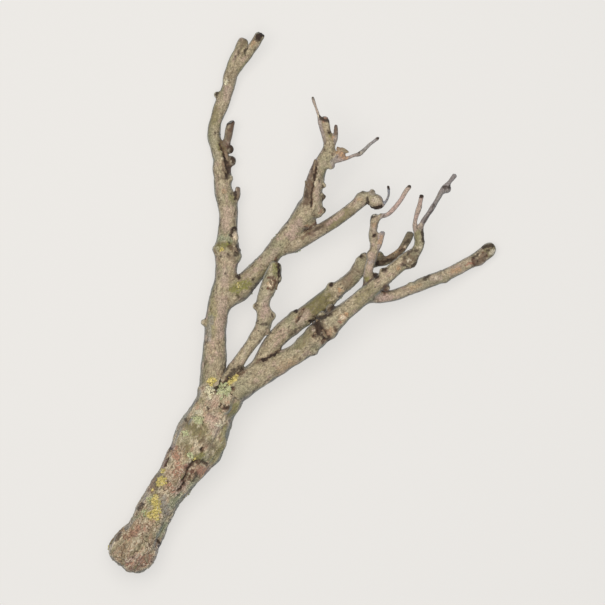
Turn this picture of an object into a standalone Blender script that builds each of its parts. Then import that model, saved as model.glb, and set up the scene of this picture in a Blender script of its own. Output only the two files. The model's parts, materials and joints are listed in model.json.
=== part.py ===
"""A fallen branch of a fruit tree, lying on the ground, split at its main forks.

Lengths below are in millimetres and are turned into metres where a mesh is made. The branch lies with its length
along Y and its butt at -Y, on three places: the underside of the butt, the elbow of the left limb and the end knob
of the far right branch. A route is a row of places along a limb's heart, each with the limb's radius there.
"""

import math

import bmesh
import bpy
from mathutils import Matrix, Vector, noise

MM = 0.001
GAP = 0.4  # between a limb and the one that it grows from
WELD = 0.005
FLOOR_DEPTH = 20.0
FLOOR_SIDE = 700.0

TRUNK_SIDES = 22
LIMB_SIDES = 12
BRANCH_SIDES = 10
SHOOT_SIDES = 6
STUB_SIDES = 8

TRUNK_STEP = 7.5  # between the rings of a tube
LIMB_STEP = 11.0
SHOOT_STEP = 10.0

SMALL_KNOT = 4.6  # a knot under this radius has few faces

RIDGE_WIDTH = 9.0  # bark ridges run with the grain
RIDGE_LENGTH = 24.0
RIDGE_FADE = 6.0  # above the ground, where the bark is pressed flat

COLLECTION = "fallen_tree_branch"
CUTTERS = "cutters"

# x, y, z, radius
TRUNK = (
    (-179.3, -263.2, 20.5, 13.5),
    (-176.5, -259.4, 21.5, 19.9),
    (-173.0, -253.0, 22.6, 23.0),
    (-168.5, -246.5, 22.6, 23.0),
    (-162.5, -237.5, 20.5, 21.0),
    (-155.5, -225.0, 20.5, 19.2),
    (-146.0, -206.5, 22.0, 18.2),
    (-138.0, -193.0, 24.0, 18.0),
    (-127.0, -177.5, 26.0, 19.6),
    (-117.5, -163.0, 27.5, 22.5),
    (-110.0, -151.0, 29.0, 25.0),
    (-103.0, -136.0, 30.5, 26.5),
    (-95.0, -118.5, 32.0, 24.0),
    (-89.0, -106.0, 33.0, 22.5),
    (-83.0, -95.0, 34.0, 23.5),
    (-79.0, -86.0, 34.0, 20.5),
    (-77.0, -80.0, 34.0, 14.0),
)
LEFT_LIMB = (
    (-86.5, -97.0, 33.0, 14.0),
    (-89.5, -83.0, 33.0, 13.8),
    (-89.5, -69.0, 33.0, 12.8),
    (-88.2, -55.5, 32.5, 12.4),
    (-87.5, -40.5, 32.0, 11.5),
    (-86.7, -22.5, 31.0, 10.9),
    (-84.7, -6.5, 29.5, 11.2),
    (-80.5, 8.5, 28.0, 11.8),
    (-77.5, 21.5, 26.5, 11.2),
    (-76.2, 35.5, 25.5, 10.8),
    (-75.6, 46.0, 24.5, 12.6),
    (-75.7, 52.2, 24.0, 13.4),
    (-75.5, 59.0, 23.0, 11.7),
    (-75.0, 68.5, 21.5, 10.3),
    (-74.5, 83.5, 19.0, 9.3),
    (-74.5, 92.5, 17.5, 9.5),
    (-76.2, 101.5, 16.0, 10.3),
    (-79.5, 112.5, 14.0, 9.2),
    (-80.3, 124.5, 12.0, 8.6),
    (-81.0, 133.5, 10.5, 8.9),
    (-82.0, 144.5, 9.0, 8.2),
    (-85.7, 155.5, 7.8, 7.3),
    (-88.9, 167.0, 6.6, 6.9),
    (-88.2, 178.5, 6.0, 6.4),
    (-84.7, 190.0, 6.3, 6.6),
    (-80.7, 200.5, 7.8, 7.1),
    (-77.0, 210.0, 9.3, 6.5),
    (-74.2, 218.5, 11.0, 6.3),
    (-72.7, 226.5, 13.0, 6.2),
    (-69.5, 231.0, 14.5, 5.8),
    (-65.5, 236.0, 16.0, 5.2),
    (-60.3, 242.5, 18.5, 4.8),
    (-54.3, 250.2, 21.5, 4.7),
    (-48.6, 257.6, 24.0, 4.7),
    (-45.3, 263.0, 26.0, 4.9),
    (-42.5, 267.9, 27.2, 5.2),
    (-41.4, 270.3, 27.7, 4.2),
)
LEFT_TINE = (
    (-73.5, 226.0, 13.0, 5.4),
    (-72.5, 234.0, 15.0, 5.2),
    (-69.6, 242.0, 17.0, 4.9),
    (-64.5, 252.0, 19.0, 4.9),
    (-60.3, 260.3, 20.8, 4.9),
    (-58.0, 264.8, 21.6, 4.0),
)
LEFT_LONG_SPUR = (
    (-80.0, 152.0, 9.0, 4.4),
    (-76.0, 163.0, 11.0, 4.1),
    (-73.7, 172.5, 13.0, 3.9),
    (-71.5, 182.0, 15.0, 3.5),
)
LEFT_SHORT_SPUR = (
    (-72.0, 99.0, 17.0, 4.0),
    (-66.2, 106.0, 18.0, 3.6),
    (-64.6, 116.8, 19.5, 3.0),
)
MIDDLE_LIMB = (
    (-80.5, 0.0, 27.5, 9.0),
    (-70.5, 8.5, 27.8, 11.8),
    (-62.0, 14.5, 28.2, 11.6),
    (-54.5, 22.5, 29.0, 10.7),
    (-47.5, 29.5, 30.0, 9.7),
    (-37.0, 40.5, 31.0, 9.3),
    (-28.0, 51.0, 32.0, 9.3),
    (-18.5, 62.0, 33.5, 9.8),
    (-7.5, 77.0, 36.0, 10.8),
    (-0.5, 87.0, 38.5, 11.6),
    (6.0, 94.5, 41.0, 11.8),
    (9.8, 102.0, 43.5, 10.4),
    (10.8, 110.5, 46.0, 9.3),
    (12.5, 120.5, 48.5, 8.7),
    (15.7, 131.0, 51.0, 7.8),
    (20.0, 140.5, 53.0, 7.2),
    (24.5, 148.5, 55.0, 6.6),
    (27.0, 156.5, 57.0, 5.6),
    (26.2, 164.0, 58.5, 4.8),
    (24.2, 171.0, 60.0, 4.3),
    (22.3, 179.5, 61.5, 4.3),
    (21.8, 185.5, 62.5, 3.6),
)
MIDDLE_SHOOT = (
    (24.0, 161.0, 58.5, 3.4),
    (20.3, 170.0, 60.5, 2.9),
    (17.3, 180.5, 62.5, 2.2),
    (15.4, 187.5, 63.8, 1.7),
    (13.0, 195.0, 65.0, 1.6),
    (9.6, 204.7, 67.0, 1.4),
)
MIDDLE_BUD = (
    (27.5, 155.0, 56.5, 3.4),
    (32.0, 161.0, 58.5, 2.9),
    (33.2, 169.0, 60.5, 2.6),
    (33.4, 177.0, 62.0, 1.3),
)
MIDDLE_SIDE_TWIG = (
    (22.5, 143.5, 54.0, 3.6),
    (31.0, 141.5, 56.0, 2.6),
    (37.2, 141.8, 57.5, 2.2),
    (43.6, 143.5, 59.0, 2.0),
    (51.3, 146.7, 61.0, 1.9),
    (57.7, 148.6, 62.5, 2.4),
    (66.6, 156.9, 65.0, 1.7),
    (75.5, 163.9, 67.0, 1.6),
)
MIDDLE_DEAD_RIDGE = (
    (2.5, 97.0, 47.0, 4.0),
    (4.2, 108.0, 50.0, 3.8),
    (6.5, 120.0, 52.5, 3.4),
    (9.5, 131.0, 54.5, 3.0),
    (13.2, 142.0, 56.0, 2.0),
)
MIDDLE_SIDE_BRANCH = (
    (-22.0, 56.0, 32.5, 7.0),
    (-12.0, 57.5, 32.5, 8.2),
    (-2.5, 61.5, 33.0, 7.6),
    (6.5, 65.8, 33.6, 6.7),
    (19.0, 73.0, 35.0, 6.4),
    (31.0, 80.5, 37.0, 6.5),
    (45.0, 90.5, 39.5, 6.3),
    (55.0, 98.5, 42.0, 6.3),
    (61.0, 104.8, 43.5, 7.0),
    (66.0, 104.3, 44.0, 5.4),
    (70.5, 102.0, 44.3, 5.4),
    (74.0, 100.8, 44.5, 5.0),
)
SIDE_BRANCH_STUB = (
    (65.5, 103.0, 44.0, 3.8),
    (68.5, 108.0, 45.5, 3.3),
    (70.6, 113.0, 47.0, 2.8),
)
SIDE_BRANCH_CURL = (
    (70.0, 96.5, 44.0, 2.4),
    (77.0, 95.2, 45.0, 1.8),
    (83.0, 100.5, 47.0, 1.5),
    (86.0, 108.0, 50.0, 1.4),
    (85.4, 116.5, 52.0, 1.4),
)
INNER_BRANCH = (
    (-83.0, -91.0, 31.0, 7.5),
    (-77.0, -78.0, 32.0, 7.8),
    (-71.0, -69.0, 33.0, 7.6),
    (-64.5, -60.5, 34.5, 7.0),
    (-57.5, -52.0, 36.0, 6.7),
    (-51.0, -43.0, 37.5, 6.8),
    (-45.5, -34.0, 39.0, 7.0),
    (-40.5, -25.0, 40.0, 7.5),
    (-37.8, -14.0, 41.5, 8.3),
    (-39.7, -4.5, 42.5, 7.2),
    (-38.5, 4.0, 43.3, 7.0),
    (-34.5, 13.5, 44.0, 7.8),
    (-31.0, 23.5, 44.6, 8.2),
    (-28.0, 33.0, 44.8, 6.8),
    (-26.3, 41.0, 44.3, 5.4),
)
RIGHT_LIMB = (
    (-80.5, -95.0, 34.0, 15.0),
    (-67.0, -86.0, 34.5, 15.0),
    (-52.5, -77.0, 35.0, 13.6),
    (-38.5, -69.5, 35.5, 12.3),
    (-26.5, -63.0, 36.0, 11.0),
    (-15.0, -56.5, 37.0, 10.3),
    (-2.0, -48.5, 38.5, 10.2),
    (7.5, -40.0, 40.0, 11.6),
    (15.5, -32.0, 41.5, 12.3),
    (26.0, -23.5, 43.0, 11.3),
    (39.5, -11.0, 45.0, 9.2),
    (53.0, -0.5, 47.0, 8.5),
    (63.5, 8.5, 48.5, 8.4),
    (73.5, 17.0, 50.0, 7.6),
    (83.5, 25.5, 51.5, 7.2),
    (95.0, 35.5, 53.0, 7.0),
    (104.5, 43.0, 54.5, 7.5),
    (110.5, 47.5, 56.0, 6.6),
    (114.4, 53.0, 57.0, 5.4),
    (116.4, 59.5, 58.0, 4.9),
    (115.7, 69.0, 59.5, 4.6),
    (114.5, 73.0, 60.2, 3.4),
)
RIGHT_SHORT_SHOOT = (
    (115.0, 67.0, 59.5, 3.2),
    (111.8, 75.0, 60.8, 2.6),
    (113.3, 85.1, 62.5, 2.4),
    (116.4, 96.6, 65.0, 2.4),
    (119.0, 107.3, 67.0, 2.2),
)
RIGHT_LONG_SHOOT = (
    (116.0, 67.0, 59.0, 3.4),
    (118.5, 77.5, 60.8, 2.8),
    (124.0, 86.6, 62.5, 2.6),
    (131.7, 98.1, 64.5, 2.5),
    (139.3, 111.9, 67.0, 2.8),
    (145.4, 118.8, 68.5, 2.6),
    (152.3, 127.2, 70.5, 2.5),
)
UPPER_RIGHT_LIMB = (
    (-62.5, -82.5, 33.0, 9.0),
    (-50.0, -70.5, 32.5, 11.0),
    (-40.0, -58.0, 32.5, 10.6),
    (-33.5, -46.5, 32.5, 10.3),
    (-26.0, -36.0, 32.5, 10.0),
    (-13.0, -24.5, 32.3, 10.3),
    (-1.5, -16.0, 31.4, 10.0),
    (10.0, -8.0, 30.5, 9.8),
    (20.5, 1.0, 29.6, 9.6),
    (30.5, 9.0, 28.8, 9.3),
    (41.0, 17.0, 27.8, 8.4),
    (50.5, 25.5, 26.8, 7.4),
    (58.5, 35.5, 26.0, 7.2),
    (63.5, 45.0, 25.5, 6.8),
    (65.0, 50.0, 25.2, 5.0),
)
UPPER_RIGHT_TWIG = (
    (57.5, 34.0, 25.5, 5.6),
    (67.5, 38.5, 25.0, 5.4),
    (76.0, 41.0, 25.5, 5.0),
    (86.3, 43.0, 27.0, 4.1),
    (98.2, 51.9, 30.0, 3.9),
    (104.7, 61.7, 32.5, 3.8),
    (108.5, 70.3, 34.5, 3.6),
)
FAR_RIGHT_BRANCH = (
    (61.5, 7.0, 45.5, 6.0),
    (70.0, 6.5, 43.0, 6.6),
    (79.0, 5.8, 40.0, 6.4),
    (91.0, 7.2, 36.5, 6.0),
    (108.0, 13.2, 31.0, 6.0),
    (124.3, 20.2, 25.5, 6.4),
    (141.0, 26.5, 20.0, 6.2),
    (158.5, 35.0, 14.5, 6.0),
    (172.5, 42.2, 9.6, 6.4),
    (181.5, 48.0, 6.6, 6.9),
    (188.0, 53.0, 5.9, 6.3),
    (190.5, 55.0, 6.0, 4.6),
)
UPRIGHT_TWIG = (
    (63.5, 9.5, 47.0, 5.8),
    (63.0, 18.5, 46.5, 6.6),
    (64.8, 27.5, 47.3, 5.2),
    (66.8, 36.0, 48.8, 4.6),
    (70.0, 46.5, 51.3, 4.5),
    (71.8, 57.5, 54.0, 4.6),
    (70.0, 66.0, 56.5, 4.2),
    (70.8, 75.5, 59.3, 4.1),
    (72.4, 83.0, 61.5, 4.7),
    (73.6, 87.6, 63.0, 4.7),
)
UPRIGHT_STUB = (
    (71.5, 51.0, 52.5, 3.4),
    (76.5, 58.0, 55.5, 2.9),
    (80.2, 71.0, 58.5, 2.5),
)
UPRIGHT_SHOOT = (
    (71.5, 82.0, 61.0, 3.0),
    (78.1, 85.9, 63.0, 2.5),
    (84.2, 87.4, 64.5, 2.4),
    (90.3, 92.8, 66.5, 2.3),
    (97.2, 101.2, 69.0, 2.3),
    (102.5, 110.4, 71.5, 2.3),
    (107.2, 116.1, 73.0, 2.1),
)

# knots, burls and buds: x, y, z, radius
TRUNK_KNOTS = (
    (-79.0, -103.0, 50.5, 7.5),
    (-124.0, -138.0, 33.0, 7.5),
    (-83.5, -141.0, 38.0, 8.0),
    (-105.0, -122.0, 49.0, 7.0),
    (-133.0, -165.0, 36.0, 6.5),
    (-178.0, -250.0, 33.0, 7.0),
    (-152.0, -249.0, 28.0, 6.5),
)
LEFT_KNOTS = (
    (-67.9, 65.5, 26.0, 3.8),
    (-84.0, 53.0, 29.0, 6.0),
    (-67.5, 46.0, 29.5, 6.2),
    (-73.4, 153.9, 12.5, 4.4),
    (-72.0, 142.3, 12.5, 5.4),
    (-85.5, 209.0, 9.5, 3.2),
    (-98.5, -20.0, 33.5, 3.4),
    (-73.5, 124.5, 15.5, 4.2),
)
MIDDLE_KNOTS = (
    (14.0, 92.0, 42.0, 7.8),
    (20.3, 92.0, 43.0, 3.4),
    (20.5, 105.5, 46.5, 2.8),
    (21.5, 116.5, 50.0, 2.6),
    (31.5, 147.0, 56.5, 5.0),
    (38.3, 148.3, 57.5, 5.0),
    (-30.0, 44.0, 34.0, 5.5),
)
SIDE_BRANCH_KNOTS = ((73.2, 100.9, 44.5, 7.3),)
INNER_KNOTS = (
    (-46.5, -4.0, 43.0, 3.4),
    (-30.5, -13.5, 42.5, 4.0),
    (-34.5, -30.0, 40.5, 3.2),
    (-25.5, 24.0, 46.0, 5.0),
)
RIGHT_KNOTS = (
    (17.0, -23.0, 47.5, 6.5),
    (10.5, -47.5, 42.0, 6.0),
    (28.0, -30.5, 45.0, 6.0),
    (107.5, 41.0, 55.0, 7.8),
    (80.0, 31.0, 53.0, 3.4),
    (-2.5, -39.5, 41.0, 4.5),
    (141.5, 114.5, 67.8, 3.0),
)
UPPER_RIGHT_KNOTS = (
    (-8.5, -13.0, 33.0, 5.0),
    (28.5, 16.5, 30.5, 4.0),
    (30.0, 0.5, 29.5, 4.0),
    (57.0, 42.0, 27.5, 4.0),
    (38.0, 12.5, 33.0, 5.0),
    (76.5, 46.0, 27.5, 5.4),
)
FAR_RIGHT_KNOTS = (
    (143.0, 22.0, 20.0, 4.4),
    (177.5, 42.5, 7.2, 5.6),
    (187.5, 53.5, 7.0, 6.9),
    (108.5, 17.0, 33.0, 3.4),
)
UPRIGHT_KNOTS = (
    (60.5, 20.0, 48.0, 5.6),
    (67.5, 47.0, 52.5, 4.4),
    (74.0, 66.5, 57.0, 3.2),
)

# In the order in which they are cut back: each gives way to those above it
LIMBS = {
    "trunk": {
        "heart": TRUNK,
        "shoots": (),
        "knots": TRUNK_KNOTS,
        "sides": TRUNK_SIDES,
        "ridge": 2.6,
        "grows_from": None,
        "colour": (0.30, 0.22, 0.15),
        "roughness": 0.92,
    },
    "left_limb": {
        "heart": LEFT_LIMB,
        "shoots": (LEFT_TINE, LEFT_LONG_SPUR, LEFT_SHORT_SPUR),
        "knots": LEFT_KNOTS,
        "sides": BRANCH_SIDES,
        "ridge": 0.7,
        "grows_from": "trunk",
        "colour": (0.34, 0.28, 0.19),
        "roughness": 0.9,
    },
    "right_limb": {
        "heart": RIGHT_LIMB,
        "shoots": (RIGHT_SHORT_SHOOT, RIGHT_LONG_SHOOT),
        "knots": RIGHT_KNOTS,
        "sides": LIMB_SIDES,
        "ridge": 0.7,
        "grows_from": "trunk",
        "colour": (0.36, 0.29, 0.21),
        "roughness": 0.9,
    },
    "middle_limb": {
        "heart": MIDDLE_LIMB,
        "shoots": (MIDDLE_DEAD_RIDGE, MIDDLE_SHOOT, MIDDLE_BUD, MIDDLE_SIDE_TWIG),
        "knots": MIDDLE_KNOTS,
        "sides": LIMB_SIDES,
        "ridge": 0.6,
        "grows_from": "left_limb",
        "colour": (0.33, 0.27, 0.19),
        "roughness": 0.9,
    },
    "middle_side_branch": {
        "heart": MIDDLE_SIDE_BRANCH,
        "shoots": (SIDE_BRANCH_STUB, SIDE_BRANCH_CURL),
        "knots": SIDE_BRANCH_KNOTS,
        "sides": BRANCH_SIDES,
        "ridge": 0.4,
        "grows_from": "middle_limb",
        "colour": (0.38, 0.32, 0.24),
        "roughness": 0.88,
    },
    "upper_right_limb": {
        "heart": UPPER_RIGHT_LIMB,
        "shoots": (UPPER_RIGHT_TWIG,),
        "knots": UPPER_RIGHT_KNOTS,
        "sides": LIMB_SIDES,
        "ridge": 0.7,
        "grows_from": "right_limb",
        "colour": (0.34, 0.29, 0.20),
        "roughness": 0.9,
    },
    "inner_branch": {
        "heart": INNER_BRANCH,
        "shoots": (),
        "knots": INNER_KNOTS,
        "sides": BRANCH_SIDES,
        "ridge": 0.5,
        "grows_from": "trunk",
        "colour": (0.35, 0.27, 0.20),
        "roughness": 0.9,
    },
    "far_right_branch": {
        "heart": FAR_RIGHT_BRANCH,
        "shoots": (),
        "knots": FAR_RIGHT_KNOTS,
        "sides": BRANCH_SIDES,
        "ridge": 0.4,
        "grows_from": "right_limb",
        "colour": (0.37, 0.30, 0.23),
        "roughness": 0.88,
    },
    "upright_twig": {
        "heart": UPRIGHT_TWIG,
        "shoots": (UPRIGHT_STUB, UPRIGHT_SHOOT),
        "knots": UPRIGHT_KNOTS,
        "sides": BRANCH_SIDES,
        "ridge": 0.3,
        "grows_from": "right_limb",
        "colour": (0.36, 0.27, 0.23),
        "roughness": 0.86,
    },
}


def clear_scene():
    for obj in list(bpy.data.objects):
        bpy.data.objects.remove(obj, do_unlink=True)


def collection(name):
    made = bpy.data.collections.new(name)
    bpy.context.scene.collection.children.link(made)
    return made


def smooth_route(route, step):
    """Rings about one step apart, on a smooth curve through the route's places."""
    places = [Vector(place) for place in route]
    padded = [2 * places[0] - places[1], *places, 2 * places[-1] - places[-2]]
    rings = []
    for i in range(1, len(padded) - 2):
        before, start, end, after = padded[i - 1 : i + 3]
        parts = max(1, round((end - start).to_3d().length / step))
        for part in range(parts):
            t = part / parts
            rings.append(
                0.5
                * (
                    2 * start
                    + (end - before) * t
                    + (2 * before - 5 * start + 4 * end - after) * t * t
                    + (3 * start - before - 3 * end + after) * t**3
                )
            )
    rings.append(places[-1])
    return rings


def mesh_from_curve(curve_object):
    """The curve as a closed mesh object, its caps welded to its side."""
    bpy.context.view_layer.update()
    evaluated = curve_object.evaluated_get(bpy.context.evaluated_depsgraph_get())
    mesh = bpy.data.meshes.new_from_object(evaluated)
    bm = bmesh.new()
    bm.from_mesh(mesh)
    bmesh.ops.remove_doubles(bm, verts=bm.verts, dist=WELD * MM)
    bmesh.ops.recalc_face_normals(bm, faces=bm.faces)
    bm.to_mesh(mesh)
    bm.free()
    made = bpy.data.objects.new(curve_object.name, mesh)
    made.matrix_world = curve_object.matrix_world.copy()
    curve = curve_object.data
    bpy.data.objects.remove(curve_object)
    bpy.data.curves.remove(curve)
    return made


def tube(name, route, sides, step, swell, home):
    """A round limb along a route. A swell makes it fatter and longer, for a cutter."""
    rings = smooth_route(route, step)
    first = (rings[0] - rings[1]).to_3d().normalized() * swell
    last = (rings[-1] - rings[-2]).to_3d().normalized() * swell
    curve = bpy.data.curves.new(name, "CURVE")
    curve.dimensions = "3D"
    curve.bevel_depth = MM
    curve.bevel_resolution = sides // 2 - 2
    curve.use_fill_caps = True
    spline = curve.splines.new("POLY")
    spline.points.add(len(rings) - 1)
    for i, ring in enumerate(rings):
        place = ring.to_3d()
        if i == 0:
            place += first
        if i == len(rings) - 1:
            place += last
        spline.points[i].co = (*(place * MM), 1.0)
        spline.points[i].radius = ring[3] + swell
    wire = bpy.data.objects.new(name, curve)
    home.objects.link(wire)
    made = mesh_from_curve(wire)
    home.objects.link(made)
    return made


def knot(name, place, swell, home):
    x, y, z, radius = place
    rounds = 1 if radius < SMALL_KNOT else 2
    bm = bmesh.new()
    bmesh.ops.create_icosphere(bm, subdivisions=rounds, radius=(radius + swell) * MM)
    mesh = bpy.data.meshes.new(name)
    bm.to_mesh(mesh)
    bm.free()
    mesh.transform(Matrix.Translation(Vector((x, y, z)) * MM))
    made = bpy.data.objects.new(name, mesh)
    home.objects.link(made)
    return made


def raise_ridges(obj, route, height, swell):
    """Low bark ridges that run with the limb's grain, the same on a cutter as on its limb."""
    grain = (Vector(route[-1][:3]) - Vector(route[0][:3])).normalized()
    mesh = obj.data
    normals = [vertex.normal.copy() for vertex in mesh.vertices]
    for vertex, normal in zip(mesh.vertices, normals):
        place = vertex.co / MM - swell * normal
        along = place.dot(grain)
        across = place - along * grain
        sample = across / RIDGE_WIDTH + grain * (along / RIDGE_LENGTH)
        fade = min(1.0, max(0.0, place.z / RIDGE_FADE))
        vertex.co += normal * (height * fade * MM * noise.noise(sample))
    bm = bmesh.new()
    bm.from_mesh(mesh)
    bmesh.ops.triangulate(bm, faces=bm.faces, quad_method="FIXED")
    bm.to_mesh(mesh)
    bm.free()


def boolean(target, tool, operation):
    """The target joined with or cut by the tool, as a plain mesh. The tool is removed."""
    modifier = target.modifiers.new(operation.lower(), "BOOLEAN")
    modifier.operation = operation
    modifier.solver = "EXACT"
    modifier.object = tool
    bpy.context.view_layer.update()
    evaluated = target.evaluated_get(bpy.context.evaluated_depsgraph_get())
    mesh = bpy.data.meshes.new_from_object(evaluated)
    target.modifiers.clear()
    old = target.data
    target.data = mesh
    bpy.data.meshes.remove(old)
    remove(tool)


def remove(obj):
    mesh = obj.data
    bpy.data.objects.remove(obj)
    bpy.data.meshes.remove(mesh)


def grow(name, swell, home):
    """One limb with its shoots, stubs and knots joined on."""
    limb = LIMBS[name]
    step = TRUNK_STEP if name == "trunk" else LIMB_STEP
    body = tube(name, limb["heart"], limb["sides"], step, swell, home)
    raise_ridges(body, limb["heart"], limb["ridge"], swell)
    for i, route in enumerate(limb["shoots"]):
        sides = SHOOT_SIDES if route[1][3] < 3.0 else STUB_SIDES
        shoot = tube(f"{name}_shoot_{i}", route, sides, SHOOT_STEP, swell, home)
        boolean(body, shoot, "UNION")
    for i, place in enumerate(limb["knots"]):
        boolean(body, knot(f"{name}_knot_{i}", place, swell, home), "UNION")
    return body


def floor_block(home):
    bm = bmesh.new()
    bmesh.ops.create_cube(bm, size=1.0)
    size = Vector((FLOOR_SIDE, FLOOR_SIDE, FLOOR_DEPTH)) * MM
    bmesh.ops.scale(bm, vec=size, verts=bm.verts)
    bmesh.ops.translate(bm, vec=(0, 0, -FLOOR_DEPTH * MM / 2), verts=bm.verts)
    mesh = bpy.data.meshes.new("floor_block")
    bm.to_mesh(mesh)
    bm.free()
    made = bpy.data.objects.new("floor_block", mesh)
    home.objects.link(made)
    return made


def boxes_meet(first, second):
    def corners(obj):
        places = [obj.matrix_world @ vertex.co for vertex in obj.data.vertices]
        low = [min(place[axis] for place in places) for axis in range(3)]
        high = [max(place[axis] for place in places) for axis in range(3)]
        return low, high

    low_a, high_a = corners(first)
    low_b, high_b = corners(second)
    return all(low_a[i] < high_b[i] and low_b[i] < high_a[i] for i in range(3))


def bark(name, colour, roughness):
    material = bpy.data.materials.new(f"{name}_bark")
    material.use_nodes = True
    shader = material.node_tree.nodes["Principled BSDF"]
    shader.inputs["Base Color"].default_value = (*colour, 1.0)
    shader.inputs["Roughness"].default_value = roughness
    shader.inputs["Metallic"].default_value = 0.0
    return material


def finish(obj, limb):
    """Smooth shading, the bark, and the origin at the limb's root."""
    obj.data.shade_smooth()
    obj.data.set_sharp_from_angle(angle=math.radians(50))
    obj.data.materials.clear()
    obj.data.materials.append(bark(obj.name, limb["colour"], limb["roughness"]))
    root = Vector(limb["heart"][0][:3]) * MM
    obj.data.transform(Matrix.Translation(-root))
    obj.location = root
    if limb["grows_from"]:
        parent = bpy.data.objects[limb["grows_from"]]
        bpy.context.view_layer.update()
        obj.parent = parent
        obj.matrix_parent_inverse = parent.matrix_world.inverted()


def main():
    clear_scene()
    home = collection(COLLECTION)
    cutters = collection(CUTTERS)
    done = []
    for name in LIMBS:
        body = grow(name, 0.0, home)
        for earlier in done:
            cutter = grow(earlier, GAP, cutters)
            if boxes_meet(body, cutter):
                boolean(body, cutter, "DIFFERENCE")
            else:
                remove(cutter)
        low = min(vertex.co.z for vertex in body.data.vertices)
        if low < 0:
            boolean(body, floor_block(cutters), "DIFFERENCE")
        body.name = name
        done.append(name)
    for name in LIMBS:
        finish(bpy.data.objects[name], LIMBS[name])


main()
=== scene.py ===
import json
import math

import bpy
import numpy as np
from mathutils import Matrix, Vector, noise

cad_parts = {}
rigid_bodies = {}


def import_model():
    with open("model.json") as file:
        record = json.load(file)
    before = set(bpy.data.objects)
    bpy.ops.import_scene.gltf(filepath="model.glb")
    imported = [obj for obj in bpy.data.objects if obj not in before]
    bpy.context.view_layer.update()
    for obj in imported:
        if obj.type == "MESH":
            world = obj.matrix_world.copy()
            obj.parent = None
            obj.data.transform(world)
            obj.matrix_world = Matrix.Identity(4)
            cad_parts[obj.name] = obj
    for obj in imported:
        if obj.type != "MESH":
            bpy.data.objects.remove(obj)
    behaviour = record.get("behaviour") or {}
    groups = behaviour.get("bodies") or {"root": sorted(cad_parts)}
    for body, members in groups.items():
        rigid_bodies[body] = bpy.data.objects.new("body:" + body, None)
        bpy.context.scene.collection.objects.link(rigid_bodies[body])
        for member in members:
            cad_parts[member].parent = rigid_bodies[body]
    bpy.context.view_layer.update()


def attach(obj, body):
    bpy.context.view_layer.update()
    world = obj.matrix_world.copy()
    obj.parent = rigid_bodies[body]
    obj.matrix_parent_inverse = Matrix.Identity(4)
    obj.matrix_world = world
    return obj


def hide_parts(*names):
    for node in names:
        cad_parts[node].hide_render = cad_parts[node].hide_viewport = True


for obj in list(bpy.data.objects):
    bpy.data.objects.remove(obj)
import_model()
mm = 0.001
pictureMiddle = 302.5

# how finely the bark is made
meshing = {
    "voxel": 0.7,
    "routeStep": 1.0,  # between the places where a limb's heart is looked up
    "ringStep": 2.0,
    "tipStep": 0.5,
    "blunt": 0.5,  # how flat the end of a limb is
    "forkFillet": 5.0,  # how far a limb flares into the one it grows from
    "touchFillet": 0.8,  # where two limbs only lean on each other
    "knotFillet": 3.0,
    "fullFlare": 6,  # radius from which a limb flares in full
    "stillness": 0.02,  # what moves less at a fork is left alone
    "largestStep": 1.2,  # of a point at a fork, each time
    "smallestIsland": 400,  # faces
}
ridges = {
    "width": 9.0,
    "length": 24.0,
    "fade": 6.0,  # above the ground, where the bark is pressed flat
}

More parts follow.
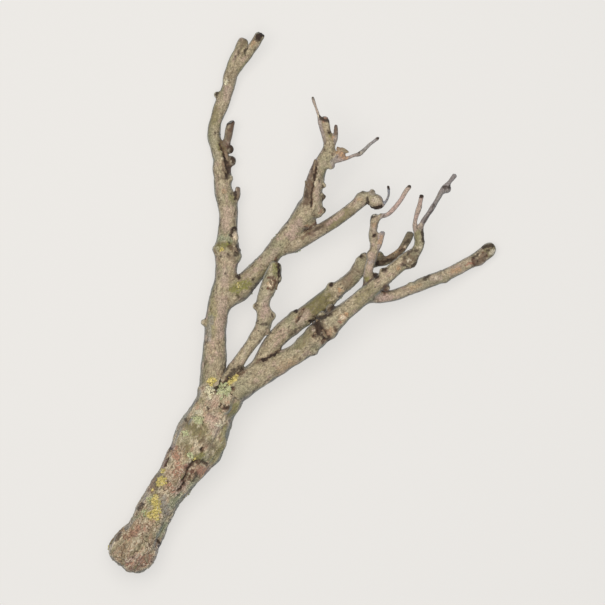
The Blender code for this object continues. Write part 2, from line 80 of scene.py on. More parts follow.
trunk = {
    "node": "trunk",
    "slot": "old_bark",
    "bark": {"ridge": 2.6, "swell": 1.1, "heave": 0.45, "furrow": 0.35, "fibre": 0.1, "grit": 0.2},
    "heart": [
        (-179.3, -263.2, 20.5, 13.5), (-176.5, -259.4, 21.5, 19.9), (-173, -253, 22.6, 23),
        (-168.5, -246.5, 22.6, 23), (-162.5, -237.5, 20.5, 21), (-155.5, -225, 20.5, 19.2), (-146, -206.5, 22, 18.2),
        (-138.6, -192.7, 24, 17.3), (-127.6, -177.1, 26, 19), (-117.5, -163, 27.5, 22.5), (-110.6, -151.2, 29, 24),
        (-103.6, -139.3, 30.5, 26.2), (-93.4, -118.5, 32, 22.5), (-88, -106, 33, 21.4), (-82.6, -95.6, 34, 22.6),
        (-79, -88.5, 34, 19.2), (-77, -84, 34.5, 12.5),
    ],
    "knots": [
        (-79, -103, 50.5, 7.5), (-124, -138, 33, 7.5), (-83.5, -141, 38, 8), (-105, -122, 49, 7),
        (-133, -165, 36, 6.5), (-178, -250, 33, 7), (-152, -249, 28, 6.5), (-69.5, -88, 39.5, 11),
        (-174.5, -262.5, 20, 7.4), (-161.5, -265.3, 20, 6.3), (-180, -256.5, 21, 8.4), (-185, -252, 24, 8.6),
    ],
    "rings": [(200, 412, 0.9, 2.5), (176, 448, 0.8, 2.0)],
    "marks": {
        "crack": [
            (1.8, 1.6, 196, 461, 190, 465, 186.5, 471, 185, 478), (1.1, 1.0, 185, 476, 183.5, 483, 179, 490),
            (0.9, 0.9, 169.5, 447, 169.5, 452, 165, 466), (0.9, 0.8, 221, 403, 225, 408, 229, 406),
            (1.6, 1.6, 217, 390, 221, 385, 229, 378),
        ],
        "hole": [(1.6, 2.4, 201.7, 449.4), (1, 1, 209.5, 389.5), (1.2, 1.2, 222, 388)],
        "dip": [(5, 1.8, 195, 461.5, 188, 468, 185.5, 475)],
        "red": [
            (7, 0.85, 203, 470, 196, 474), (6, 0.85, 181, 466, 178, 474), (3, 0.8, 173, 491, 170, 484),
            (5, 0.8, 174, 449, 177, 455), (2.6, 0.9, 167, 455, 162, 468), (7, 0.8, 132, 567, 147, 560),
            (5, 0.7, 128, 536, 142, 528),
        ],
        "brown": [
            (5, 0.6, 204, 440, 212, 446), (5, 0.6, 157, 476, 152, 488), (8, 0.4, 122, 548, 128, 555),
            (6, 0.4, 146, 530, 150, 540), (3, 0.9, 233, 388),
        ],
        "pink": [
            (4, 0.9, 188, 466, 183, 476), (5, 0.9, 184, 484, 177, 493), (7, 0.6, 213, 418, 216, 428),
            (4, 0.7, 128, 562, 138, 556), (6, 0.5, 247, 392, 254, 392), (7, 0.4, 214, 405, 212, 397),
        ],
        "olive": [(9, 0.8, 188, 425, 200, 432), (6, 0.7, 186, 445, 189, 452)],
        "algae": [(6, 0.8, 172, 505, 180, 497), (4, 0.8, 160, 535, 165, 525), (4, 0.6, 190, 488, 197, 478)],
        "moss": [(5, 0.8, 202, 455, 198, 458), (5, 0.6, 226, 430, 223, 448, 214, 462), (4, 0.5, 236, 405, 232, 416)],
        "dark": [
            (1.6, 0.8, 197, 461, 191, 465), (2.2, 0.8, 203, 462, 206, 464), (2.4, 0.7, 197, 474, 193, 480),
            (2.2, 0.8, 170, 448), (2, 0.8, 208.5, 408), (2.4, 0.8, 185.5, 419.5), (2.6, 0.8, 222, 405, 228, 408),
            (2.2, 0.8, 121, 531, 117, 540), (2, 0.9, 158, 541, 160, 546), (2.4, 0.8, 138, 508, 142, 504),
            (2, 1, 208, 389, 211, 391), (1.8, 0.8, 233, 387),
        ],
        "umber": [(3, 0.9, 198, 461, 191, 465, 187, 470, 184.5, 480), (1.6, 0.8, 194, 471, 189, 480)],
        "pale": [
            (2.4, 0.8, 198, 412, 202, 413), (2.2, 0.7, 217, 425, 221, 426), (4, 0.9, 209.5, 390),
            (2.6, 0.8, 209.5, 397),
        ],
        "grey": [(4, 0.5, 166, 512, 163, 498), (3, 0.8, 157, 557, 159, 547)],
        "yellow": [
            (2.4, 0.8, 195.5, 459.5), (2, 0.7, 182.5, 463), (5, 1, 161.5, 481.5), (2.4, 0.8, 155.6, 496),
            (4.4, 1, 155, 501, 157, 509), (4, 0.9, 149, 515, 155, 516), (2.4, 0.7, 163, 471), (1.8, 0.7, 152, 490),
            (3.6, 0.9, 212, 381), (3.4, 0.9, 231, 381, 234, 379),
        ],
        "green": [
            (3.4, 0.9, 191, 454), (3.6, 0.9, 186, 433), (4, 0.9, 197, 419, 200, 420), (3.4, 0.8, 145, 513),
            (3, 0.6, 150, 500), (7, 1, 224, 389.5),
        ],
    },
}
leftLimb = {
    "node": "left_limb",
    "growsFrom": "trunk",
    "slot": "limb_bark",
    "bark": {"ridge": 0.7, "swell": 0.5, "heave": 0.4, "furrow": 0.2, "fibre": 0.08, "grit": 0.1},
    "heart": [
        (-86.5, -97, 33, 14), (-89.5, -83, 33, 13.8), (-89.5, -69, 33, 12.8), (-88.2, -55.5, 32.5, 12.4),
        (-87.5, -40.5, 32, 11.5), (-86.7, -22.5, 31, 10.9), (-84.7, -6.5, 29.5, 11.2), (-80.5, 8.5, 28, 11.8),
        (-77.5, 21.5, 26.5, 11.2), (-76.2, 35.5, 25.5, 10.8), (-75.6, 46, 24.5, 12.6), (-75.7, 52.2, 24, 13.4),
        (-75.5, 59, 23, 11.7), (-75, 68.5, 21.5, 10.3), (-74.5, 83.5, 19, 9.3), (-74.5, 92.5, 17.5, 9.5),
        (-76.2, 101.5, 16, 10.3), (-79.5, 112.5, 14, 9.2), (-80.3, 124.5, 12, 8.6), (-81, 133.5, 10.5, 8.9),
        (-82, 144.5, 9, 8.2), (-85.7, 155.5, 7.8, 7.3), (-88.9, 167, 6.6, 6.9), (-88.2, 178.5, 6, 6.4),
        (-84.7, 190, 6.3, 6.6), (-80.7, 200.5, 7.8, 7.1), (-77, 210, 9.3, 6.5), (-74.2, 218.5, 11, 6.3),
        (-72.7, 226.5, 13, 6.2), (-69.5, 231, 14.5, 5.8), (-65.5, 236, 16, 5.2), (-60.3, 242.5, 18.5, 4.8),
        (-54.3, 250.2, 21.5, 4.7), (-48.6, 257.6, 24, 4.7), (-45.3, 263, 26, 4.9), (-42.5, 267.9, 27.2, 5.2),
        (-41.4, 270.3, 27.7, 4.2),
    ],
    "shoots": {
        "left tine": [
            (-73.5, 226, 13, 5.4), (-72.5, 234, 15, 5.2), (-69.6, 242, 17, 4.9), (-64.5, 252, 19, 4.9),
            (-60.3, 260.3, 20.8, 4.9), (-58, 264.8, 21.6, 4),
        ],
        "left long spur": [(-80, 152, 9, 4.4), (-76, 163, 11, 3.7), (-73.7, 172.5, 13, 4.1), (-71, 184, 15.4, 4.1)],
        "left short spur": [(-72, 99, 17, 4), (-66.2, 106, 18, 3.6), (-64.6, 116.8, 19.5, 3)],
    },
    "knots": [
        (-67.9, 65.5, 26, 3.8), (-84, 53, 29, 6), (-67.5, 46, 29.5, 6.2), (-73.4, 153.9, 12.5, 4.4),
        (-72, 142.3, 12.5, 5.4), (-85.5, 209, 9.5, 3.2), (-98.5, -20, 33.5, 3.4), (-73.5, 124.5, 15.5, 4.2),
    ],
    "cuts": [  # place, way it faces, radius, share and tone of the wood
        ((-72.0, 181.5, 15), (-0.5, 0.87, 0.35), 3.4, 0.5, "grey"),
        ((-40.7, 271.8, 28.3), (0.5, 0.75, 0.4), 4.2, 0.5, "brown"),
    ],
    "rings": [
        (227, 255, 0.5, 1.6), (227, 249, 0.9, 1.8), (227, 243, 0.5, 1.4), (228, 222, 0.4, 1.2), (227, 197, 0.5, 1.4),
        (220, 152, 0.6, 1.5), (214, 134, 0.4, 1.2), (229, 86, 0.5, 1.4), (230, 74, 0.4, 1.2), (214, 320, 0.4, 1.6),
        (219, 301, 0.4, 1.6), (212, 345, 0.5, 1.8),
    ],
    "marks": {
        "crack": [(0.9, 0.8, 219, 143, 224, 153, 226, 164, 226.5, 175)],
        "lump": [(1.6, 1.0, 222, 158), (1.4, 0.8, 226, 170)],
        "brown": [
            (4.4, 0.85, 232, 121, 228, 138), (5, 0.9, 222, 143, 227, 156, 227, 176),
            (5, 0.9, 222, 142, 228, 152, 228, 166), (2.4, 0.8, 238, 187, 237, 198), (4, 0.6, 228, 256, 234, 258),
            (2.6, 0.7, 245, 39, 242, 46),
        ],
        "pink": [
            (4, 0.5, 228, 88, 226, 97), (5, 0.5, 226, 228, 227, 210), (6, 0.5, 220, 335, 222, 300),
            (4, 0.5, 226, 270, 225, 285),
        ],
        "tan": [(3, 0.6, 223.6, 190), (3, 0.6, 253, 43)],
        "olive": [(4, 0.6, 216, 108, 214, 120), (6, 0.8, 218, 247, 229, 245)],
        "algae": [(4, 0.7, 219, 238, 229, 239)],
        "moss": [
            (2, 0.5, 217.5, 90), (3.4, 0.6, 219, 145, 222, 152), (4, 0.5, 232, 198), (3.4, 0.8, 220, 247, 228, 244),
            (4, 0.4, 212, 335, 214, 300),
        ],
        "dark": [
            (2.6, 0.9, 216.5, 93), (1.8, 0.8, 215, 133), (2.4, 0.8, 224, 153, 226, 165, 227, 177),
            (3.2, 0.75, 230, 144, 233, 160), (1.4, 0.9, 234.5, 192, 235, 199), (1.4, 0.7, 231, 194),
            (2.2, 0.9, 232.5, 230, 231.5, 236), (2, 1, 233, 228, 236, 229), (3, 0.8, 236.5, 247, 236, 255),
            (1.8, 0.8, 229, 254.5), (1.5, 0.8, 229, 242), (1.5, 0.7, 221, 257), (1.6, 0.8, 238.3, 51.7),
            (1.6, 0.8, 235.3, 56.5), (4.4, 1, 263, 32, 258, 38), (1.3, 0.8, 247, 47, 244, 53),
            (2.2, 0.9, 221, 386, 226, 377), (3, 0.7, 226, 371, 228, 362),
        ],
        "umber": [
            (1.6, 0.7, 233, 122, 230, 130), (2.6, 0.85, 227, 144, 232, 150, 233, 162, 229, 170),
            (3, 0.8, 230, 247, 237, 250),
        ],
        "wood": [(2.4, 1, 235, 234, 235.5, 237)],
        "light": [(1.4, 0.6, 229, 149), (1.2, 0.7, 231.5, 163)],
        "pale": [(2.2, 1, 226.5, 81)],
        "grey": [(3, 0.4, 209, 340, 211, 318)],
        "yellow": [(3, 0.9, 221.5, 249.6), (3.4, 0.9, 210, 381, 214, 380)],
    },
}
rightLimb = {
    "node": "right_limb",
    "growsFrom": "trunk",
    "slot": "limb_bark",
    "bark": {"ridge": 0.7, "swell": 0.6, "heave": 0.45, "furrow": 0.22, "fibre": 0.08, "grit": 0.11},
    "heart": [
        (-80.5, -95, 34, 15), (-67, -86, 34.5, 15), (-52.5, -77, 35, 13.6), (-38.5, -69.5, 35.5, 12.3),
        (-26.5, -63, 36, 11), (-15, -56.5, 37, 10.3), (-2, -48.5, 38.5, 10.2), (7.5, -40, 40, 11.6),
        (15.5, -32, 41.5, 12.3), (26, -23.5, 43, 11.3), (39.5, -11, 45, 9.2), (53, -0.5, 47, 8.5),
        (63.5, 8.5, 48.5, 8.4), (73.5, 17, 50, 7.6), (83.5, 25.5, 51.5, 7.2), (95, 35.5, 53, 7),
        (104.5, 43, 54.5, 7.5), (110.5, 47.5, 56, 6.6), (114.4, 53, 57, 5.4), (116, 59.5, 58, 5.2),
        (115.5, 69, 59.5, 4.7), (114.5, 73, 60.2, 3.4),
    ],
    "shoots": {
        "right short shoot": [
            (115, 67, 59.5, 3.2), (111.8, 75, 60.8, 2.6), (113.3, 85.1, 62.5, 2.4), (116.4, 96.6, 65, 2.4),
            (119, 107.3, 67, 2.2),
        ],
        "right long shoot": [
            (116, 67, 59, 3.4), (118.5, 77.5, 60.8, 2.8), (124, 86.6, 62.5, 2.6), (131.7, 98.1, 64.5, 2.5),
            (139.3, 111.9, 67, 2.8), (145.4, 118.8, 68.5, 2.6), (152.3, 127.2, 70.5, 2.5),
        ],
    },
    "knots": [
        (17, -23, 47.5, 6.5), (10.5, -47.5, 42, 6), (28, -30.5, 45, 6), (107.5, 41, 55, 7.8), (80, 31, 53, 3.4),
        (-2.5, -39.5, 41, 4.5), (143.3, 112.8, 67.8, 4.2), (28.5, -7, 40, 5.5), (20, -14.5, 40, 6),
        (83.5, 14.5, 47, 4), (73, 26, 45, 4.2),
    ],
    "cuts": [  # place, way it faces, radius, share and tone of the wood
        ((152.6, 127.6, 70.6), (0.6, 0.75, 0.25), 2.6, 0.5, "tan"),
    ],
    "rings": [
        (301, 352, 0.6, 1.8), (309, 343, 0.9, 1.8), (330, 325, 0.8, 1.6), (342, 312, 0.5, 1.4), (366, 293, 0.4, 1.4),
        (386, 277, 0.5, 1.2), (404, 262, 0.6, 1.4), (413, 254, 0.6, 1.2),
    ],
    "marks": {
        "crack": [(1.4, 1.6, 310, 321, 316, 324, 317, 331, 313, 336), (1.2, 1.4, 321, 327, 325, 333, 324, 340)],
        "lump": [(2.6, 1.3, 313, 329), (2.4, 1.2, 320, 333), (2.2, 1.2, 320, 322)],
        "red": [(1.8, 1, 340, 321.5)],
        "brown": [
            (7, 0.8, 316, 324, 320, 331), (4, 0.9, 327, 312, 335, 306), (6, 0.8, 408, 262, 414, 256),
            (4, 0.4, 421, 226, 430, 210, 445, 188, 452, 178),
        ],
        "pink": [(2, 0.6, 314, 330), (4, 0.95, 413.5, 230, 417, 212, 422, 197)],
        "tan": [
            (4, 0.6, 332, 331, 326, 340), (3.6, 1, 342.5, 318, 345, 315), (2.6, 0.8, 398, 268),
            (7, 0.4, 282, 372, 292, 364),
        ],
        "olive": [(3.4, 0.7, 416, 243, 417, 232), (6, 0.6, 300, 345, 308, 335), (5, 0.5, 358, 300, 372, 290)],
        "moss": [(1.4, 0.9, 382.5, 270)],
        "dark": [
            (5, 0.85, 316, 320, 320, 326, 319, 331), (2, 0.9, 311, 320, 325, 317, 331, 315),
            (4, 0.8, 314, 322, 318, 327), (3, 0.8, 322, 336, 328, 339), (2.6, 0.9, 332, 308, 336, 304),
            # (3.4, 1, 375, 276) is painted shadow under the upright twig's root
            (2.8, 0.95, 383, 270), (3.4, 1, 375, 276), (2, 0.8, 403, 266, 410, 268, 417, 262),
            (1.6, 0.7, 404, 258, 409, 252, 416, 251), (1.5, 0.9, 422, 230, 423, 244),
            (2.8, 1, 421.5, 194.5, 421.3, 196.5), (1.2, 0.7, 424, 222, 434, 206), (1.6, 0.8, 443, 188, 451, 188),
            # (1.6, 1, 262, 360.5, 270, 357, 276, 353) is painted shade in the crease where the upper right limb
            # passes under this limb
            (1.6, 1, 262, 360.5, 270, 357, 276, 353), (2, 0.8, 314, 356),
        ],
        "umber": [
            (1.6, 0.8, 328, 335, 322, 341), (1.4, 0.8, 334, 326, 337, 331), (3.2, 0.9, 386.5, 287, 384, 290),
            # (2, 0.8, 238, 375, 243, 371) is painted shade in the fork crevice, and (2.2, 0.7, 258, 361, 266, 359,
            # 280, 350) painted shade in the crease under the upper right limb
            (2.4, 0.9, 233, 389), (2, 0.8, 238, 375, 243, 371), (2.2, 0.7, 258, 361, 266, 359, 280, 350),
        ],
        "wood": [(2.4, 1, 342.7, 317.5)],
        "light": [(2.2, 0.8, 408.5, 260.5), (2, 0.6, 420, 247), (1.5, 0.8, 421, 225)],
        "grey": [(4, 0.45, 424, 222, 440, 196, 454, 176), (1.2, 0.8, 428, 218, 438, 203)],
        "yellow": [(3.2, 0.9, 231, 382, 235, 378)],
    },
}
middleLimb = {
    "node": "middle_limb",
    "growsFrom": "left_limb",
    "slot": "limb_bark",
    "bark": {"ridge": 0.6, "swell": 0.5, "heave": 0.4, "furrow": 0.2, "fibre": 0.08, "grit": 0.1},
    "heart": [
        (-80.5, 0, 27.5, 9), (-70.5, 8.5, 27.8, 11.8), (-62, 14.5, 28.2, 11.6), (-54.5, 22.5, 29, 10.7),
        (-47.5, 29.5, 30, 9.7), (-37, 40.5, 31, 9.3), (-28, 51, 32, 9.3), (-18.5, 62, 33.5, 9.8),
        (-6.8, 76.6, 36, 10.3), (0.3, 86.5, 38.5, 10.9), (6, 94.5, 41, 11.8), (9.8, 102, 43.5, 10.4),
        (10.8, 110.5, 46, 9.3), (12.5, 120.5, 48.5, 8.7), (15.7, 131, 51, 7.8), (20, 140.5, 53, 7.2),
        (24.5, 148.5, 55, 6.6), (27, 156.5, 57, 5.6), (26.2, 164, 58.5, 4.8), (24.2, 171, 60, 4.3),
        (22.3, 179.5, 61.5, 4.3), (21.8, 185.5, 62.5, 3.6),
    ],
    "shoots": {
        "middle dead ridge": [
            (2.5, 97, 47, 4), (4.2, 108, 50, 3.8), (6.5, 120, 52.5, 3.4), (9.5, 131, 54.5, 3), (13.2, 142, 56, 2),
        ],
        "middle shoot": [
            (24, 161, 58.5, 3.4), (20.3, 170, 60.5, 2.9), (17.3, 180.5, 62.5, 2.2), (15.4, 187.5, 63.8, 1.7),
            (13, 195, 65, 1.6), (9.6, 204.7, 67, 1.4),
        ],
        "middle bud": [(27.5, 155, 56.5, 3.4), (32, 161, 58.5, 2.9), (33.2, 169, 60.5, 2.6), (33.4, 177, 62, 1.3)],
        "middle side twig": [
            (22.5, 143.5, 54, 3.6), (31, 141.5, 56, 2.6), (37.2, 141.8, 57.5, 2.2), (43.6, 143.5, 59, 2),
            (51.3, 146.7, 61, 1.9), (57.7, 148.6, 62.5, 2.4), (66.6, 156.9, 65, 1.7), (75.5, 163.9, 67, 1.6),
        ],
    },
    "knots": [
        (14, 92, 42, 7.8), (20.3, 92, 43, 3.4), (20.5, 105.5, 46.5, 2.8), (21.5, 116.5, 50, 2.6),
        (31.5, 147, 56.5, 5), (38.3, 148.3, 57.5, 5), (-30, 44, 34, 5.5), (8, 80, 38, 6), (28.2, 136.8, 54, 4),
    ],
    "cuts": [  # place, way it faces, radius, share and tone of the wood
        ((23.2, 184.6, 63.2), (0.1, 0.5, 0.8), 3.2, 0.8, "red"),
    ],
    "rings": [
        (249, 282, 0.5, 1.5), (262, 265, 0.5, 1.5), (277, 250, 0.4, 1.4), (296, 225, 0.6, 1.6), (313, 200, 0.5, 1.3),
        (316, 178, 0.4, 1.2), (320, 168, 0.4, 1.2), (327, 151, 0.6, 1.2),
    ],
    "marks": {
        "crack": [(1.0, 1.5, 311.5, 207, 311.5, 196, 313.5, 182, 316, 168)],
        "red": [(2.6, 0.8, 320.5, 212.5), (2.4, 0.8, 324.5, 121)],
        "brown": [
            (3.6, 0.95, 306.5, 204, 308, 192, 311, 178, 315, 164), (2.2, 0.9, 336, 125, 336, 134),
            (1.8, 0.8, 333, 155),
        ],
        "pink": [
            (5, 0.6, 299, 223, 290, 235), (4, 0.5, 276, 250, 268, 262), (3, 0.5, 317, 200, 318, 185),
            (2.5, 0.6, 314, 103, 318, 116),
        ],
        "tan": [(2.2, 0.9, 307, 225.5), (2.4, 0.8, 333, 138), (4.4, 0.9, 339, 153, 344, 156)],
        "olive": [(5, 0.5, 262, 275, 280, 255)],
        "moss": [(6.5, 1, 235, 289, 245, 284), (2, 0.6, 330, 136)],
        "dark": [
            (3, 1, 238, 276), (2, 0.7, 237.5, 296), (2, 0.8, 253, 279), (1.8, 0.8, 287, 222.5),
            (1.6, 0.6, 307, 198, 306, 188), (1.4, 0.6, 312, 172, 314, 165), (1.4, 0.6, 319, 180.5),
            (2, 0.8, 323, 187), (2.2, 0.8, 323.5, 196, 323.5, 201), (2, 0.8, 325, 207, 325, 211),
            (2.4, 0.9, 329.5, 133), (1.4, 0.9, 324, 115, 328, 118, 329, 123), (2.8, 1, 312, 97),
            (1.6, 0.8, 358, 152.7), (2.6, 1, 378, 138.5), (2, 0.7, 252, 292, 258, 284),
        ],
        "umber": [
            (1.4, 0.9, 304, 230, 309, 229, 314, 225, 318, 220), (1, 0.8, 304.5, 226, 307, 228), (1.8, 0.9, 336, 126),
        ],
        "light": [(2.4, 0.9, 319, 117)],
        "grey": [(1.6, 0.6, 336, 126), (2, 0.5, 362, 151, 375, 141)],
        "yellow": [(2, 0.6, 238, 286)],
    },
}
middleSideBranch = {
    "node": "middle_side_branch",
    "growsFrom": "middle_limb",
    "slot": "young_bark",
    "bark": {"ridge": 0.4, "swell": 0.35, "heave": 0.25, "furrow": 0.25, "fibre": 0.1, "grit": 0.12},
    "heart": [
        (-22, 56, 32.5, 7), (-12, 57.5, 32.5, 8.2), (-2.5, 61.5, 33, 7.6), (6.5, 65.8, 33.6, 6.7), (19, 73, 35, 6.4),
        (31, 80.5, 37, 6.5), (45, 90.5, 39.5, 6.3), (55, 98.5, 42, 6.3), (61, 104.8, 43.5, 7), (66, 104.3, 44, 5.4),
        (70.5, 102, 44.3, 5.4), (74, 100.8, 44.5, 5),
    ],
    "shoots": {
        "side branch stub": [(65.5, 103, 44, 3.8), (68.5, 108, 45.5, 3.3), (70.6, 113, 47, 2.8)],
        "side branch curl": [
            (70, 96.5, 44, 2.4), (77, 95.2, 45, 1.8), (83, 100.5, 47, 1.5), (86, 108, 50, 1.4),
            (85.4, 116.5, 52, 1.4),
        ],
    },
    "knots": [(73.2, 100.9, 44.5, 7.3)],
    "cuts": [  # place, way it faces, radius, share and tone of the wood
        ((70.9, 113.2, 47.6), (0.25, 0.8, 0.6), 3.0, 0.7, "grey"),
    ],
    "rings": [
        (309, 236, 0.5, 1.2), (321, 230, 0.4, 1.2), (333, 222, 0.4, 1.2), (347, 213, 0.4, 1.2), (357, 205, 0.4, 1.0),
        (367, 198, 0.5, 0.9),
    ],
    "marks": {
        "red": [(1.5, 0.9, 383.4, 201)],
        "brown": [(4, 0.8, 309, 234, 322, 227, 330, 220), (2.4, 0.8, 372, 192, 375, 187)],
        "pink": [(2.2, 0.6, 327, 224, 342, 214), (2.4, 0.8, 373, 200.5)],
        "tan": [(3, 0.8, 360.5, 199.5)],
        "olive": [(5, 0.7, 332, 225, 350, 212)],
        "dark": [
            (1.6, 0.6, 315, 231, 322, 226), (2, 0.7, 362, 192.5), (1.5, 0.9, 367.5, 198, 367.5, 205),
            (1.5, 1, 369, 206.5, 375, 208.6, 381, 206), (2.4, 1, 388, 186, 388.3, 188),
        ],
        "umber": [(2, 0.7, 302, 238, 309, 233)],
        "light": [(1.2, 0.8, 372, 189), (3.4, 0.6, 376, 200)],
        "grey": [(3, 1, 385, 203, 388, 195, 388, 186)],
    },
}
upperRightLimb = {
    "node": "upper_right_limb",
    "growsFrom": "right_limb",
    "slot": "limb_bark",
    "bark": {"ridge": 0.7, "swell": 0.5, "heave": 0.4, "furrow": 0.22, "fibre": 0.08, "grit": 0.1},
    "heart": [
        (-60, -84, 33, 8.5), (-48.6, -71.6, 32.5, 8.6), (-39.3, -58.4, 32.5, 9.6), (-33.2, -46.8, 32.5, 9.9),
        (-26, -36, 32.5, 10), (-13, -24.5, 32.3, 10.3), (-1.5, -16, 31.4, 10), (10, -8, 30.5, 9.8),
        (20.5, 1, 29.6, 9.6), (30.5, 9, 28.8, 8.9), (41, 17, 27.8, 7.7), (50.5, 25.5, 26.8, 7.4),
        (58.5, 35.5, 26, 7.2), (63.5, 45, 25.5, 6.8), (65, 50, 25.2, 5),
    ],
    "shoots": {
        "upper right twig": [
            (57.5, 34, 25.5, 5.6), (67.5, 38.5, 25, 5.4), (76, 41, 25.5, 5), (86.3, 43, 27, 4.1),
            (98.2, 51.9, 30, 3.9), (104.7, 61.7, 32.5, 3.8), (108.5, 70.3, 34.5, 3.6),
        ],
    },
    "knots": [
        (-8.5, -13, 33, 5), (28.5, 16.5, 30.5, 4), (30, 0.5, 29.5, 4), (57, 42, 27.5, 4), (38, 12.5, 33, 5),
        (76.5, 46, 27.5, 5.4),
    ],
    "rings": [
        (270, 343, 0.5, 1.6), (283, 330, 0.5, 1.6), (300, 317, 0.8, 1.5), (331, 291, 0.8, 1.5), (343, 281, 0.5, 1.3),
        (354, 270, 0.5, 1.2),
    ],
    "marks": {
        "crack": [(0.9, 0.8, 297, 322, 299, 316, 304, 309)],
        "brown": [(5, 0.6, 346, 284, 356, 270), (6, 0.95, 380, 262, 395, 255, 404, 245, 410, 236)],
        "pink": [(5, 0.6, 300, 323, 307, 313)],
        "tan": [(2.6, 0.9, 340, 289.5), (2.4, 0.6, 298, 318), (1.6, 0.7, 388, 257, 397, 251), (2, 0.8, 378, 254)],
        "olive": [(11, 1, 313, 309, 322, 300)],
        "moss": [(1.8, 0.8, 382, 253.3)],
        "dark": [
            (1.4, 0.8, 342, 288), (2.4, 1, 331.5, 284.5), (2.2, 1, 293, 310, 296, 311.5), (2.4, 1, 362, 256),
            # (1.2, 0.7, 266, 359, 280, 350) is painted shade in the crease where this limb passes under the right
            # limb
            (2, 0.7, 366, 252), (1.2, 0.7, 266, 359, 280, 350), (1.8, 0.6, 300, 327, 290, 335),
            (2, 0.8, 384, 262, 392, 258), (1.6, 0.7, 400, 250, 408, 240), (2.8, 1, 377.5, 264),
        ],
        "umber": [(2.4, 0.6, 381, 263, 396, 257, 405, 247)],
        "wood": [(1.5, 0.8, 405.5, 247)],
    },
}
innerBranch = {
    "node": "inner_branch",
    "growsFrom": "trunk",
    "slot": "limb_bark",
    "bark": {"ridge": 0.5, "swell": 0.45, "heave": 0.4, "furrow": 0.2, "fibre": 0.08, "grit": 0.1},
    "heart": [
        (-81, -91, 38, 7), (-75.6, -79, 41, 7), (-70.2, -69.8, 38.7, 7.1), (-64, -60.5, 37, 6.4),
        (-58.6, -52, 36.5, 5.9), (-52.3, -43, 37.5, 6), (-46, -34, 39, 6.6), (-40.5, -25, 40, 7.5),
        (-37.8, -14, 41.5, 8.3), (-39.7, -4.5, 42.5, 7.2), (-38.5, 4, 43.3, 7), (-34.5, 13.5, 44, 7.8),
        (-31, 23.5, 44.6, 8.2), (-28, 33, 44.8, 6.8), (-26.3, 41, 44.3, 5.4),
    ],
    "knots": [(-46.5, -4, 43, 3.4), (-30.5, -13.5, 42.5, 4), (-34.5, -30, 40.5, 3.2), (-25.5, 24, 46, 5)],
    "rings": [
        (262, 324, 0.9, 1.4), (247, 352, 0.5, 1.4), (255, 340, 0.4, 1.2), (264, 307, 0.5, 1.2), (268, 292, 0.5, 1.2),
        (273, 279, 0.5, 1.2),
    ],
    "marks": {
        "pink": [(4, 0.6, 266, 300, 264, 315)],
        "tan": [(3.5, 0.9, 271, 283)],
        "olive": [(4, 0.8, 275, 262, 276, 274)],
        "moss": [(5, 0.8, 276, 268)],
        "dark": [
            (2.4, 0.9, 268.5, 333), (2.2, 0.9, 272, 315), (1.7, 1, 278.5, 264, 279, 276, 277.5, 290),
            # (3.5, 0.8, 229, 378, 233, 371, 240, 368) is painted shade in the fork crevice
            (1.3, 0.7, 258, 323.5, 267, 324.5), (3.5, 0.8, 229, 378, 233, 371, 240, 368), (2.2, 0.7, 256.5, 306),
        ],
        "umber": [(1.5, 0.9, 268, 278, 273, 277, 275.5, 283, 272, 290, 268, 288), (2.2, 0.8, 277, 257, 276, 262)],
        "wood": [(2, 1, 271, 282, 270.5, 285)],
    },
}
farRightBranch = {
    "node": "far_right_branch",
    "growsFrom": "right_limb",
    "slot": "young_bark",
    "bark": {"ridge": 0.4, "swell": 0.3, "heave": 0.25, "furrow": 0.25, "fibre": 0.1, "grit": 0.12},
    "heart": [
        (61.5, 7, 45.5, 6), (70, 6.5, 43, 6.6), (79, 5.8, 40, 6.4), (91, 7.2, 36.5, 6), (108, 13.2, 31, 6),
        (124.3, 20.2, 25.5, 6.4), (141, 26.5, 20, 6.2), (158.5, 35, 14.5, 6), (172.5, 42.2, 9.6, 6.4),
        (181.5, 48, 6.6, 6.9), (188, 53, 5.9, 6.3), (190.5, 55, 6, 4.6),
    ],
    "knots": [(143, 23.6, 20, 4), (177.5, 42.5, 7.2, 5.6), (187.5, 53.5, 7, 6.9), (108.5, 17, 33, 3.4)],
    "rings": [
        (393, 296, 0.5, 1.2), (411, 289, 0.4, 1.0), (427, 282, 0.5, 1.0), (443, 276, 0.9, 1.2), (461, 268, 0.4, 1.0),
        (475, 261, 0.5, 1.0),
    ],
    "marks": {
        "red": [(1.2, 0.8, 466, 265, 473, 262)],
        "brown": [(2.4, 0.8, 374, 298), (4.4, 1, 476, 262, 483, 258)],
        "pink": [(5, 0.9, 380, 298, 388, 298), (3, 0.7, 433, 279, 440, 277)],
        "tan": [(3, 0.6, 412, 288, 420, 285), (3, 0.7, 452, 272, 459, 269)],
        "olive": [(6, 0.8, 488, 252, 494, 250)],
        "dark": [
            (2, 0.8, 424, 279, 429, 276), (1.3, 0.8, 475, 257, 480, 253), (2.6, 0.9, 485, 247, 493, 245.5),
            (1.6, 0.8, 489, 250),
        ],
        "umber": [(3, 0.9, 388, 290, 384, 291), (1.4, 0.9, 474, 258, 475, 265), (1.6, 0.9, 484, 252, 488, 257)],
        "light": [(2, 0.6, 436, 278), (2, 0.9, 492, 253, 495, 250)],
    },
}
